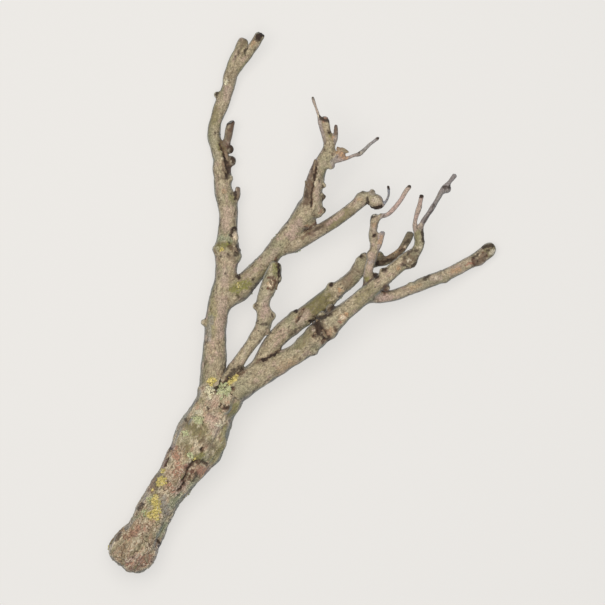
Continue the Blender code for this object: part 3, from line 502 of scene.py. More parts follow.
uprightTwig = {
    "node": "upright_twig",
    "growsFrom": "right_limb",
    "slot": "young_bark",
    "bark": {"ridge": 0.3, "swell": 0.3, "heave": 0.25, "furrow": 0.25, "fibre": 0.1, "grit": 0.12},
    "heart": [
        (65, 9.5, 41.5, 4.8), (65.2, 19, 43, 4.7), (65.4, 27.5, 46, 4.7), (66.8, 36, 48.8, 4.6),
        (70, 46.5, 51.3, 4.5), (71.8, 57.5, 54, 4.6), (70, 66, 56.5, 4.2), (70.8, 75.5, 59.3, 4.1),
        (72.4, 83, 61.5, 4.7), (73.6, 87.6, 63, 4.7),
    ],
    "shoots": {
        "upright stub": [(71.5, 51, 52.5, 3.4), (76.5, 58, 55.5, 2.9), (80.2, 71, 58.5, 2.5)],
        "upright shoot": [
            (71.5, 82, 61, 3), (78.1, 85.9, 63, 2.5), (84.2, 87.4, 64.5, 2.4), (90.3, 92.8, 66.5, 2.3),
            (97.2, 101.2, 69, 2.3), (102.5, 110.4, 71.5, 2.3), (107.2, 116.1, 73, 2.1),
        ],
    },
    "knots": [(67.5, 47, 52.5, 4.4), (74, 66.5, 57, 3.2)],
    "cuts": [  # place, way it faces, radius, share and tone of the wood
        ((73.0, 88.2, 63.5), (-0.5, 0.8, 0.6), 4.8, 0.7, "light"),
        ((80.6, 71.5, 59), (0.3, 0.85, 0.5), 2.6, 0.7, "grey"),
    ],
    "rings": [(369, 262, 0.5, 1.0), (372, 246, 0.6, 1.0), (373, 226, 0.5, 0.9), (367, 275, 0.5, 1.0)],
    "marks": {
        "hole": [(1.4, 1.5, 374, 236)],
        "brown": [(4, 0.6, 366, 280)],
        "pink": [(4, 0.6, 370, 268, 372, 255), (4, 0.9, 388, 214, 396, 205, 408, 189)],
        "tan": [(3, 0.5, 374, 226), (2, 0.7, 379, 243, 381, 237)],
        "moss": [(3.4, 0.8, 367, 279)],
        "dark": [
            # (2.8, 1, 376, 275) is painted shadow under this twig's root
            (2.8, 1, 376, 275), (2, 1, 374, 236), (1.4, 0.9, 370, 220, 376, 212, 381, 211), (1.4, 0.8, 383, 217),
            (3.8, 1, 409.5, 186),
        ],
        # this umber line is painted shadow at the twig's base on the right limb
        "umber": [(2.2, 0.8, 361, 286, 368, 284, 372, 279)],
        "light": [(1.8, 0.6, 377, 215)],
        "grey": [(3, 0.4, 371, 262), (1.8, 0.8, 381.5, 232)],
    },
}
limbs = [trunk, leftLimb, rightLimb, middleLimb, middleSideBranch, upperRightLimb, innerBranch]
limbs += [farRightBranch, uprightTwig]

# noise in plain numbers, the same each run
gradients = np.array(
    [(1, 1, 0), (-1, 1, 0), (1, -1, 0), (-1, -1, 0), (1, 0, 1), (-1, 0, 1), (1, 0, -1), (-1, 0, -1)]
    + [(0, 1, 1), (0, -1, 1), (0, 1, -1), (0, -1, -1), (1, 1, 0), (-1, 1, 0), (0, -1, 1), (0, -1, -1)],
    float,
)
lowBits = 0xFFFFFFFF


def scatter(cell, seed):  # a whole number for each cell, as if thrown
    h = cell[:, 0] * 374761393 + cell[:, 1] * 668265263 + cell[:, 2] * 1274126177 + seed * 974711
    h &= lowBits
    h = ((h ^ (h >> 13)) * 1274126177) & lowBits
    return h ^ (h >> 16)


def softNoise(p, seed):  # about -1 to 1, one bump a unit
    cell = np.floor(p).astype(np.int64)
    part = p - cell
    ease = part**3 * (part * (part * 6 - 15) + 10)
    total = np.zeros(len(p))
    for corner in np.ndindex(2, 2, 2):
        corner = np.array(corner)
        lean = gradients[scatter(cell + corner, seed) & 15]
        weight = np.where(corner, ease, 1 - ease).prod(1)
        total += weight * np.einsum("ij,ij->i", lean, part - corner)
    return total * 1.4


def layered(p, seed):  # bumps with finer ones on them
    return softNoise(p, seed) + 0.55 * softNoise(p * 2.0, seed + 1)


def plates(p, seed):  # nearest and second nearest of scattered points, and a number for the nearest
    cell = np.floor(p).astype(np.int64)
    nearest, second, which = np.full(len(p), 9.0), np.full(len(p), 9.0), np.zeros(len(p))
    for step in np.ndindex(3, 3, 3):
        near = cell + np.array(step) - 1
        h = scatter(near, seed)
        point = near + np.stack([(h & 1023), (h >> 10) & 1023, (h >> 20) & 1023], 1) / 1024
        gap = np.linalg.norm(p - point, axis=1)
        closer = gap < nearest
        second = np.where(closer, nearest, np.minimum(second, gap))
        which = np.where(closer, (h & 4095) / 4096, which)
        nearest = np.where(closer, gap, nearest)
    return nearest, second, which


def ramp(x, low, high):
    t = np.clip((x - low) / (high - low), 0, 1)
    return t * t * (3 - 2 * t)


def toPlan(*line):  # x, y, x, y and so on in the picture, as places in plan
    return (np.reshape(line, (-1, 2)) - pictureMiddle) * (1, -1)


def lineGap(xy, line):  # how far each point is from a line in plan
    if len(line) == 1:
        return np.linalg.norm(xy - line[0], axis=1)
    gap = np.full(len(xy), 1e9)
    for start, end in zip(line, line[1:]):
        run = end - start
        t = np.clip((xy - start) @ run / max(run @ run, 1e-9), 0, 1)
        gap = np.minimum(gap, np.linalg.norm(xy - start - t[:, None] * run, axis=1))
    return gap


def addObject(name, data):
    thing = bpy.data.objects.new(name, data)
    bpy.context.scene.collection.objects.link(thing)
    return thing


def merged(parts):  # several sets of points and faces as one
    faces, start = [], 0
    for points, own in parts:
        faces += [tuple(int(i) + start for i in face) for face in own]
        start += len(points)
    return np.vstack([points for points, _ in parts]), faces


def ringFaces(rows, sides):  # between rings of points, and a fan over each end to the two last points
    faces, top, base, last = [], rows * sides, rows * sides + 1, (rows - 1) * sides
    for i in range(0, last, sides):
        for j in range(sides):
            a, b = i + j, i + (j + 1) % sides
            faces.append((a, a + sides, b + sides, b))
    for j in range(sides):
        faces.append((top, j, (j + 1) % sides))
        faces.append((base, last + (j + 1) % sides, last + j))
    return faces


def makeRoute(stations, limb, seed):  # a smooth line through the stations
    rows = np.array(stations, float)
    padded = np.vstack([2 * rows[0] - rows[1], rows, 2 * rows[-1] - rows[-2]])
    parts = []
    for i in range(1, len(padded) - 2):
        before, start, end, after = padded[i - 1 : i + 3]
        count = max(2, int(np.linalg.norm((end - start)[:3]) / meshing["routeStep"]) + 1)
        t = np.arange(count)[:, None] / count
        bend = 2 * before - 5 * start + 4 * end - after
        twist = 3 * start - before - 3 * end + after
        parts.append(0.5 * (2 * start + (end - before) * t + bend * t * t + twist * t**3))
    places = np.vstack(parts + [rows[-1:]])
    centre = places[:, :3]
    along = np.concatenate([[0], np.cumsum(np.linalg.norm(np.diff(centre, axis=0), axis=1))])
    tangent = np.gradient(centre, axis=0)
    tangent /= np.linalg.norm(tangent, axis=1)[:, None]
    side = np.zeros_like(tangent)
    last = np.cross((0, 0, 1.0), tangent[0])
    for i, way in enumerate(tangent):
        last = last - way * (last @ way)
        last /= np.linalg.norm(last)
        side[i] = last
    route = {"centre": centre, "radius": places[:, 3], "along": along, "limb": limb, "seed": seed}
    return {**route, "tangent": tangent, "side": side, "over": np.cross(tangent, side)}


def tubeMesh(route):
    along, radius = route["along"], route["radius"]
    end = along[-1]
    reach = np.maximum(radius[-1] * (1 - meshing["blunt"]), 0.3)
    near = np.clip((end - along) / reach, 0, 1)
    radius = radius * np.sqrt(np.clip(1 - 0.8 * (1 - near) ** 2, 0.05, 1))
    keep = [0]
    for i in range(1, len(along)):
        wanted = meshing["ringStep"] if along[i] < end - 2 * reach - 1 else meshing["tipStep"]
        if along[i] - along[keep[-1]] >= wanted or i == len(along) - 1:
            keep.append(i)
    sides = 28 if radius.max() > 6 else 16
    turn = np.arange(sides) * 2 * math.pi / sides
    verts = []
    for i in keep:
        ring = np.cos(turn)[:, None] * route["side"][i] + np.sin(turn)[:, None] * route["over"][i]
        verts.append(route["centre"][i] + ring * radius[i])
    verts = np.vstack(verts + [route["centre"][[keep[0], keep[-1]]]])
    return verts, [(face[0], *face[:0:-1]) for face in ringFaces(len(keep), sides)]


def ballMesh(place):
    rows, sides = 7, 14
    verts = []
    for i in range(1, rows + 1):
        tilt = math.pi * i / (rows + 1)
        for j in range(sides):
            turn = 2 * math.pi * j / sides
            verts.append((math.sin(tilt) * math.cos(turn), math.sin(tilt) * math.sin(turn), math.cos(tilt)))
    verts += [(0, 0, 1), (0, 0, -1)]
    return np.array(verts) * place[3] + np.array(place[:3]), ringFaces(rows, sides)


def skin(parts):  # one closed skin over all the tubes and knots
    verts, faces = merged(parts)
    mesh = bpy.data.meshes.new("core")
    mesh.from_pydata((verts * mm).tolist(), [], faces)
    core = addObject("core", mesh)
    remesh = core.modifiers.new("skin", "REMESH")
    remesh.mode = "VOXEL"
    remesh.voxel_size = meshing["voxel"] * mm
    remesh.adaptivity = 0
    bpy.context.view_layer.update()
    grown = bpy.data.meshes.new_from_object(core.evaluated_get(bpy.context.evaluated_depsgraph_get()))
    points = np.empty(len(grown.vertices) * 3)
    grown.vertices.foreach_get("co", points)
    corners = np.empty(len(grown.loops), np.int64)
    grown.loops.foreach_get("vertex_index", corners)
    bpy.data.objects.remove(core)
    bpy.data.meshes.remove(mesh)
    bpy.data.meshes.remove(grown)
    return points.reshape(-1, 3) / mm, corners.reshape(-1, 4)


def sidesOf(quads):
    sides = np.concatenate([quads[:, [i, (i + 1) % 4]] for i in range(4)])
    sides.sort(axis=1)
    return sides


def edgesOf(quads):  # each side once
    pairs = sidesOf(quads)
    base = pairs.max() + 1
    codes = np.unique(pairs[:, 0] * base + pairs[:, 1])
    return np.stack([codes // base, codes % base], 1)


def average(values):  # of each point's neighbours
    ends, others = edges.T.ravel(), edges[:, ::-1].T.ravel()
    share = np.maximum(np.bincount(ends, minlength=count), 1)
    if values.ndim == 1:
        return np.bincount(ends, weights=values[others], minlength=count) / share
    columns = [np.bincount(ends, weights=column[others], minlength=count) for column in values.T]
    return np.stack(columns, 1) / share[:, None]


def normalsOf(points, quads):
    a, b, c, d = points[quads.T]
    across = np.cross(c - a, d - b)
    ends = quads.ravel()
    columns = [np.bincount(ends, weights=np.repeat(column, 4), minlength=len(points)) for column in across.T]
    total = np.stack(columns, 1)
    return total / np.maximum(np.linalg.norm(total, axis=1), 1e-12)[:, None]


def groupsOf(count, pairs):  # which joined group each one is in
    ends = pairs.T.ravel()
    others = pairs[:, ::-1].T.ravel()[np.argsort(ends, kind="stable")]
    share = np.bincount(ends, minlength=count)
    linked = np.nonzero(share)[0]
    starts = (np.cumsum(share) - share)[linked]
    label = np.arange(count)
    while True:
        new = label.copy()
        new[linked] = np.minimum(new[linked], np.minimum.reduceat(label[others], starts))
        new = np.minimum(new, new[new])
        new = np.minimum(new, new[new])
        if (new == label).all():
            return label
        label = new


def locate(points):  # the two nearest limbs of each point, and where it lies on them
    count = len(points)
    gap = np.full((2, count), 99.0)
    which = np.zeros((2, count), np.int64)
    spot = np.zeros((2, count, 3))
    girth = np.ones((2, count))
    for number, route in enumerate(routes):
        centre = route["centre"]
        room = route["radius"].max() + 9
        near = np.nonzero(((points > centre.min(0) - room) & (points < centre.max(0) + room)).all(1))[0]
        for block in np.array_split(near, max(1, len(near) // 20000)):
            p = points[block]
            i = ((centre**2).sum(1)[None] - 2 * p @ centre.T).argmin(1)
            off = p - centre[i]
            ahead = np.clip(np.einsum("ij,ij->i", off, route["tangent"][i]), -1.5, 1.5)
            off -= ahead[:, None] * route["tangent"][i]
            radius = route["radius"][i]
            value = np.linalg.norm(off, axis=1) - radius
            across, over = (np.einsum("ij,ij->i", off, route[key][i]) for key in ("side", "over"))
            place = np.stack([across, over, route["along"][i] + ahead], 1)
            first = value < gap[0, block]
            second = ~first & (value < gap[1, block])
            for table in (gap, which, spot, girth):
                table[1, block[first]] = table[0, block[first]]
            for rank, closer in enumerate((first, second)):
                put = block[closer]
                gap[rank, put], which[rank, put] = value[closer], number
                spot[rank, put], girth[rank, put] = place[closer], radius[closer]
    return gap, which, spot, girth


def knotGap(points):
    gap = np.full(len(points), 99.0)
    for x, y, z, radius in knots:
        away = points - (x, y, z)
        near = np.nonzero((np.abs(away) < radius + 6).all(1))[0]
        gap[near] = np.minimum(gap[near], np.linalg.norm(away[near], axis=1) - radius)
    return gap


def joined(a, b, reach):  # the smaller of two gaps, rounded where they meet
    share = np.clip(1 - np.abs(a - b) / reach, 0, 1)
    return np.minimum(a, b) - share * share * reach / 4


routes, parts, knots, heartRoute = [], [], [], []
for number, limb in enumerate(limbs):
    heartRoute.append(len(routes))
    for k, stations in enumerate([limb["heart"], *limb.get("shoots", {}).values()]):
        routes.append(makeRoute(stations, number, 17 * number + 5 * k))
        parts.append(tubeMesh(routes[-1]))
    knots += limb["knots"]
    parts += [ballMesh(place) for place in limb["knots"]]
points, quads = skin(parts)
island = groupsOf(len(points), edgesOf(quads))
quads = quads[island[quads[:, 0]] == np.bincount(island).argmax()]
used, quads = np.unique(quads, return_inverse=True)
points, quads = points[used], quads.reshape(-1, 4)
edges, count = edgesOf(quads), len(points)
print("skin over all limbs:", count, "points")

# forks flare and knots sink into their limb
nodes = [limb["node"] for limb in limbs]
parentOf = np.array([nodes.index(limb.get("growsFrom", "trunk")) for limb in limbs])
limbOfRoute = np.array([route["limb"] for route in routes])


def gapsOf(points):  # to the nearest limb or knot, plain and rounded where they meet
    gap, which, _, girth = locate(points)
    one, two = limbOfRoute[which]
    kin = (one == two) | (parentOf[one] == two) | (parentOf[two] == one)
    reach = np.where(kin, meshing["forkFillet"], meshing["touchFillet"])
    reach *= np.clip(girth.min(0) / meshing["fullFlare"], 0.35, 1)
    lumps = knotGap(points)
    return np.minimum(gap[0], lumps), joined(joined(gap[0], gap[1], reach), lumps, meshing["knotFillet"])


plain, flared = gapsOf(points)
moving = np.nonzero(plain - flared > meshing["stillness"])[0]
print("flaring", len(moving), "points at the forks and knots")
for turn in range(3):
    step = gapsOf(points[moving])[1] - plain[moving]
    step = np.clip(step, -meshing["largestStep"], meshing["largestStep"])
    points[moving] -= normalsOf(points, quads)[moving] * step[:, None]
soften = np.zeros(count)
soften[moving] = np.clip((plain - flared)[moving] / 0.5, 0, 1)
for turn in range(3):
    soften = np.maximum(soften, average(soften) * 0.9)
for turn in range(6):
    points += (average(points) - points) * (0.6 * soften)[:, None]
for turn in range(2):  # takes the voxel steps off
    points += (average(points) - points) * 0.35

# how the bark runs: across, over and along the limb in its own straight frame
gap, which, spot, girth = locate(points)
blend = np.clip(0.5 - 0.5 * (gap[1] - gap[0]) / 3.0, 0, 0.5)
seedOf = np.array([route["seed"] for route in routes])[which][..., None]
limbOf = limbOfRoute[which[0]]
girth = girth[0]


def onBark(maker, grain, lean, seed):  # noise in the limb's frame, mixed where two limbs meet
    scale = (grain, grain, lean)
    first = maker(spot[0] / scale + seedOf[0] * 3.7, seed)
    near = blend > 0.01
    other = maker(spot[1][near] / scale + seedOf[1][near] * 3.7, seed)
    first[near] += (other - first[near]) * blend[near]
    return first


def perLimb(key):
    return np.array([limb["bark"][key] for limb in limbs])[limbOf]


normal = normalsOf(points, quads)
swell = 0.6 * onBark(softNoise, 13, 17, 1) * perLimb("swell")
for number, limb in enumerate(limbs):  # the same low ridges as the solid limb
    grain = np.array(limb["heart"][-1][:3]) - np.array(limb["heart"][0][:3])
    grain /= np.linalg.norm(grain)
    own = np.nonzero(limbOf == number)[0]
    ahead = points[own] @ grain
    sample = (points[own] - ahead[:, None] * grain) / ridges["width"] + np.outer(ahead / ridges["length"], grain)
    lift = np.array([noise.noise(at) for at in sample.tolist()])
    swell[own] += limb["bark"]["ridge"] * lift * np.clip(points[own, 2] / ridges["fade"], 0, 1)
points += normal * swell[:, None]
normal = normalsOf(points, quads)
up = ramp(normal[:, 2], -0.25, 0.15)
# painted shade: how much a point faces sideways, for a cool grey tone on the limbs' sides
paintedSideShade = ramp(0.72 - np.abs(normal[:, 2]), 0, 0.6)
# painted highlight: how much a point faces straight up, to lighten the tops of the limbs
paintedTopHighlight = ramp(normal[:, 2], 0.6, 0.97)

# marks, as seen from above
tones = {  # sRGB, as seen in daylight; a later one lies over an earlier one
    "olive": (124, 114, 74), "brown": (112, 90, 72), "tan": (188, 148, 112), "pink": (194, 164, 150),
    "red": (182, 132, 110), "algae": (162, 166, 134), "moss": (134, 128, 70), "grey": (140, 140, 146),
    "umber": (98, 66, 50), "light": (220, 204, 178), "pale": (212, 204, 180), "green": (168, 172, 128),
    "yellow": (176, 160, 88), "dark": (62, 47, 38), "wood": (242, 212, 182),
}
sinks = {"crack": 1, "hole": 1, "dip": 1, "lump": -1}  # marks that are only shape
lichens = ("yellow", "green", "pale")
mask = {kind: np.zeros(count) for kind in tones}
sink = np.zeros(count)


def wander(size, seed, reach):  # how far the edge of a mark strays
    return np.stack([softNoise(points / size, seed), softNoise(points / size, seed + 1)], 1) * reach


def cover(kind, share, where=slice(None)):  # the stronger of two marks shows
    mask[kind][where] = np.maximum(mask[kind][where], share)


drift = wander(3.6, 91, 1.1)
drift += wander(1.5, 93, 0.5)
jitter = wander(1.1, 96, 0.35)
plan = points[:, :2] + drift
grainy = layered(points / 1.5, 95)
unsure = softNoise(points / 4.2, 98)


def markBark(kind, width, strength, line, own):
    box = 2.2 * width + 3
    near = own[((plan[own] > line.min(0) - box) & (plan[own] < line.max(0) + box)).all(1)]
    if not len(near):
        print("nothing lies under", kind, "at", line.tolist())
    elif kind in sinks:
        away = lineGap(points[near, :2] + 0.8 * drift[near] + 0.5 * jitter[near], line)
        opening = width * (1 + 0.5 * unsure[near] * (kind == "crack"))
        shape = np.exp(-((away / opening) ** 2)) * up[near]
        sink[near] += strength * shape * sinks[kind]
        # cracks and holes are darkened: painted shade in the opening, and an umber rim round it
        if kind in ("crack", "hole"):
            wide = np.exp(-((away / (2.1 * opening)) ** 2)) * up[near]
            cover("umber", 0.8 * ramp(wide, 0.2, 0.9), near)
            cover("dark", 0.75 * ramp(shape, 0.35, 1.0), near)
    else:
        away = lineGap(plan[near], line)
        if kind in lichens:
            inside = width * (1 + 0.3 * unsure[near]) - away
            shape = ramp(inside + 1.3 * grainy[near] + 1.2 * jitter[near, 0], -0.4, 1.1)
        elif kind in ("wood", "light"):
            shape = ramp(width - away + 0.5 * grainy[near], -0.5, 0.7)
        else:
            loose = 0.3 * grainy[near] + 0.45 * unsure[near]
            shape = ramp(width * (1.3 + loose) - away, 0, width * 0.9)
        cover(kind, strength * shape * up[near], near)


for number, limb in enumerate(limbs):
    beside = (limbOfRoute[which[1]] == number) & (gap[1] < 6)
    own = np.nonzero(((limbOf == number) | beside) & (up > 0))[0]
    for kind, rows in limb["marks"].items():
        for width, strength, *line in rows:
            markBark(kind, width, strength, toPlan(*line), own)
for kind in (*lichens, "wood"):  # one crust lies over another
    for under in ("red", "brown", "pink", "olive", "algae", "moss"):
        mask[under] *= 1 - 0.7 * mask[kind]

# lichen and bare spots where the picture can't see, and small black specks all over
strewn = {"lichen": 11.0, "specks": 5.5, "algae": 24.0, "red": 16.0}  # how far apart
around = 1 - 0.75 * up
nearest, _, pick = plates(points / strewn["lichen"] + drift.mean(1)[:, None] * 0.02, 41)
size = 0.16 + 0.22 * ((pick * 7.3) % 1)
below = 1 - ramp(normal[:, 2], -0.4, -0.12)
crust = ramp(size - nearest + 0.05 * grainy, 0, 0.06) * below * ramp(girth, 5, 9)
for kind, least, most in (("yellow", -1, 0.13), ("green", 0.3, 0.42), ("pale", 0.6, 0.7)):
    cover(kind, crust * ((pick > least) & (pick < most)))
nearest, _, pick = plates(points / strewn["specks"], 43)
speck = ramp(0.1 + 0.1 * pick - nearest + 0.03 * grainy, 0, 0.06) * ((pick * 5.1) % 1 < 0.45)
cover("dark", 0.75 * speck * ramp(girth, 3, 6))
cover("algae", ramp(layered(points / strewn["algae"], 55), 0.15, 0.6) * around * 0.8)
cover("red", ramp(layered(points / strewn["red"], 57), 0.45, 0.75) * around * ramp(girth, 9, 14) * 0.8)

# relief: how wide and how long each kind of form is on the limb
relief = {
    "creases": (4.2, 15),
    "broken": (9, 14),  # where the creases stop
    "heave": (6.5, 10),
    "fibre": (2.2, 8),
    "grit": (2.3, 2.9),
    "plates": (4.2, 4.2, 6.5),
    "creaseWidth": 0.12,
    "seam": 0.13,
}
wide = relief["creaseWidth"]
furrow = ramp(wide - np.abs(onBark(layered, *relief["creases"], 3)), 0, wide)
furrow *= ramp(onBark(layered, *relief["broken"], 4), -0.05, 0.45)
height = perLimb("heave") * onBark(softNoise, *relief["heave"], 11)
height += perLimb("fibre") * onBark(softNoise, *relief["fibre"], 6)
height += perLimb("grit") * onBark(layered, *relief["grit"], 8)
height -= perLimb("furrow") * furrow
flaky = ramp(lineGap(plan, toPlan(118, 560, 150, 535, 160, 505)), 62, 20) * (limbOf == 0)  # round the butt
scaled = np.nonzero(flaky > 0.02)[0]
flaky = flaky[scaled]
warp = np.stack([softNoise(points[scaled] / 5, seed) for seed in (61, 62, 63)], 1)
nearest, second, tone = plates((spot[0] / relief["plates"])[scaled] + 0.35 * warp, 13)
seam = ramp(relief["seam"] - (second - nearest), 0, relief["seam"])
height[scaled] += flaky * ((tone - 0.5) * 0.9 * (1 - seam) - 0.6 * seam)
furrow[scaled] = np.maximum(furrow[scaled], 0.7 * seam * flaky)
flake = np.zeros(count)
flake[scaled] = tone * flaky
for number, limb in enumerate(limbs):
    heart = routes[heartRoute[number]]
    own = np.nonzero(which[0] == heartRoute[number])[0]
    for px, py, tall, wide in limb["rings"]:
        s = heart["along"][np.linalg.norm(heart["centre"][:, :2] - toPlan(px, py), axis=1).argmin()]
        across = np.column_stack([spot[0, own, :2], np.full(len(own), s)])
        away = (spot[0, own, 2] - s + 0.9 * softNoise(across / (5, 5, 1), 71) * wide) / wide
        part = ramp(softNoise(across / (6, 6, 1), 72), -0.3, 0.5)
        edge = np.exp(-((away - 1.4) ** 2) * 3)
        height[own] += tall * part * (0.7 * np.exp(-(away**2)) - 0.5 * edge)
        furrow[own] = np.maximum(furrow[own], 0.6 * part * edge)
height -= sink
height += (mask["yellow"] + mask["green"]) * (0.55 + 0.45 * grainy) + mask["pale"] * 0.25
height += mask["moss"] * 0.25 * grainy + mask["dark"] * 0.5 * layered(points / 2.4, 77)
height -= mask["red"] * 0.5 + mask["wood"] * 0.4
points += normal * height[:, None]
for number, limb in enumerate(limbs):  # broken off flat
    for place, facing, size, inner, tone in limb.get("cuts", []):
        facing = np.array(facing) / np.linalg.norm(facing)
        own = np.nonzero((limbOf == number) & (np.linalg.norm(points - place, axis=1) < size * 2.2))[0]
        ahead = (points[own] - place) @ facing
        out = np.linalg.norm(points[own] - place - ahead[:, None] * facing, axis=1) / size
        cut = ahead > 0
        points[own[cut]] -= (ahead[cut] - 0.25 * softNoise(points[own[cut]] / 1.6, 99))[:, None] * facing
        cover(tone, inner * ramp(0.85 - out[cut], 0, 0.25), own[cut])
        mask["dark"][own] *= 1 - inner * cut * (out < 0.6)
        cover("dark", 0.9 * ramp(ahead, -1.2, -0.2) * ramp(out, 0.6, 0.85), own)
points[:, 2] = np.maximum(points[:, 2], 0.0)
normal = normalsOf(points, quads)
print("bark is raised")

# painted shade in hollows and painted highlight on raised edges, from the shape itself
paintedHollowShade = np.zeros(count)
for turns, scale, share in ((1, 0.14, 0.15), (6, 0.5, 0.4), (20, 1.4, 0.45)):  # fine, middling and broad
    smooth = points
    for turn in range(turns):
        smooth = average(smooth)
    paintedHollowShade += share * np.clip(np.einsum("ij,ij->i", smooth - points, normal) / scale, -1, 1)
stained = np.maximum(np.maximum(mask["dark"], mask["umber"]), 0.6 * mask["brown"])
# painted shade in the hollows of the shape
mask["paintedHollowShade"] = np.clip(paintedHollowShade * 1.3, 0, 1)
# painted highlight on raised edges, left off the dark marks
mask["edge"] = np.clip(-paintedHollowShade * 1.5, 0, 1) * ramp(girth, 3, 7) * (1 - 0.9 * stained)
mask["furrow"] = np.clip(furrow, 0, 1)
mask["flake"] = flake
mask["girth"] = np.clip(girth / 20, 0, 1)
mask["paintedSideShade"] = paintedSideShade * (1 - 0.8 * stained)
mask["paintedTopHighlight"] = paintedTopHighlight
mask["fork"] = ramp(blend, 0.02, 0.42)

# each limb gets its own share of the skin
label = limbOf[quads[:, 0]]
sides = sidesOf(quads)
code = sides[:, 0] * count + sides[:, 1]
order = np.argsort(code, kind="stable")
same = code[order][1:] == code[order][:-1]
pairs = np.stack([order[:-1][same], order[1:][same]], 1) % len(quads)  # faces that touch


def votes(weight):  # how many neighbours of each face are in each limb, and the face's own limb
    wide = len(limbs)
    total = np.zeros(len(quads) * wide)
    for one, two in ((0, 1), (1, 0)):
        total += np.bincount(pairs[:, one] * wide + label[pairs[:, two]], minlength=len(total))
    total = total.reshape(-1, wide)
    total[np.arange(len(quads)), label] += weight
    return total.argmax(1)


for turn in range(8):
    label = votes(1.5)
for turn in range(30):
    patch = groupsOf(len(quads), pairs[label[pairs[:, 0]] == label[pairs[:, 1]]])
    small = np.bincount(patch, minlength=len(quads))[patch] < meshing["smallestIsland"]
    if not small.any():
        break
    label = np.where(small, votes(-9.0), label)
print("shares:", np.bincount(label).tolist(), "faces")


def addPiece(name, verts, faces, numbers, material, grain=None):
    mesh = bpy.data.meshes.new(name)
    mesh.from_pydata((verts * mm).tolist(), [], faces)
    mesh.shade_smooth()
    for key, values in numbers.items():
        layer = mesh.attributes.new(key, "FLOAT", "POINT")
        layer.data.foreach_set("value", values.astype(np.float32))
    if grain is not None:
        layer = mesh.attributes.new("grain", "FLOAT_VECTOR", "POINT")
        layer.data.foreach_set("vector", grain.astype(np.float32).ravel())
    piece = addObject(name, mesh)
    mesh.materials.append(material)
    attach(piece, "root")
    return piece


def openEnds(faces):  # the border of a limb's share, as loops of points
    sides = [faces[:, [i, (i + 1) % 4]].tolist() for i in range(4)]
    there = {(a, b) for rows in sides for a, b in rows}
    ring, loops = {}, []
    for rows in sides:
        for a, b in rows:
            if (b, a) not in there:
                ring.setdefault(b, []).append(a)
    while ring:
        start = at = next(iter(ring))
        loop = []
        while at in ring:
            loop.append(at)
            following = ring[at].pop()
            if not ring[at]:
                del ring[at]
            at = following
            if at == start:
                break
        loops.append(loop)
    return loops


def limbPiece(number, limb):
    used, own = np.unique(quads[label == number], return_inverse=True)
    own = own.reshape(-1, 4)
    local, faces, loops, tips = points[used], own.tolist(), openEnds(own), []
    middle = local.mean(0)
    for loop in loops:  # each cut end is closed to a tip just inside
        centre = local[loop].mean(0)
        inward = middle - centre
        tip = len(local) + len(tips)
        tips.append(centre + inward / max(np.linalg.norm(inward), 1e-9))
        faces += [[a, b, tip] for a, b in zip(loop, loop[1:] + loop[:1])]
    numbers = {name: np.append(values[used], np.zeros(len(tips))) for name, values in mask.items()}
    grain = np.vstack([spot[0][used] + seedOf[0][used] * 13.0, np.zeros((len(tips), 3))])
    piece = addPiece(limb["node"] + "_bark", np.vstack([local, tips]), faces, numbers, materials[limb["slot"]], grain)
    ways = np.vstack([normal[used], np.tile((0, 0, 1.0), (len(tips), 1))])
    piece.data.normals_split_custom_set_from_vertices(ways.tolist())
    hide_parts(limb["node"])
    print(piece.name, len(faces), "faces,", len(loops), "cut ends")


# bark that has come loose: where it holds on, where it ends and its width. It lies on the bark, unless it has
# heights and the way it faces
looseBark = {
    "trunk": [
        ((123, 528, 34), (109, 544.5, 22), 9, (-0.7, 0.5, 0.6)), ((118, 547), (113.5, 557), 6),
        ((128, 552), (122, 565), 6), ((138, 556), (134, 569), 6), ((148, 550), (147, 563), 5),
        ((131, 538), (126, 548), 5), ((143, 536), (139, 546), 5), ((152, 534), (150, 544), 4.5),
        ((136, 522), (131, 531), 4.5), ((186, 468), (181, 479), 4), ((196, 470), (191, 481), 4),
        ((178, 474), (174, 486), 4), ((171, 450), (166, 460), 3.6), ((226, 402), (221, 408), 3.6),
        ((146, 520), (141, 529), 4),
    ],
    "left_limb": [((224, 150), (228, 161), 3.4), ((222, 160), (226, 173), 3), ((234, 244), (237.5, 253), 3.2)],
    "middle_limb": [
        ((336.5, 148.4, 60.6), (348.6, 152.9, 62.6), 4.4, (-0.1, 0.25, 1)), ((312.5, 171), (315.5, 159.6), 3.4),
        ((308, 193), (305.6, 181), 3),
    ],
    "right_limb": [
        ((312, 322), (309.6, 331), 3.4), ((316, 320), (323, 322), 3), ((322, 330), (327, 338), 3.4),
        ((314, 333), (320, 339), 3), ((405, 262), (411, 268), 3), ((411, 252), (417, 257), 2.6),
    ],
    "upper_right_limb": [((303, 310), (298.5, 317), 3), ((386, 259), (394, 254), 2.6), ((397, 252), (404, 245), 2.6)],
    "inner_branch": [((272, 287), (270, 280), 2.8), ((277, 290), (278, 277), 2.6)],
    "far_right_branch": [((480, 258), (488, 252), 3.4), ((486, 250), (493, 247), 3.2)],
}
seenFromAbove = np.nonzero(normal[:, 2] > 0.1)[0]


def topAt(px, py):  # the highest bark near a place in the picture, and the way it faces
    place = toPlan(px, py)
    away = np.linalg.norm(points[seenFromAbove, :2] - place, axis=1)
    near = seenFromAbove[away < 1.2]
    if not len(near):
        near = seenFromAbove[[away.argmin()]]
    top = near[points[near, 2].argmax()]
    return np.array([*place[0], points[top, 2]]), normal[top]


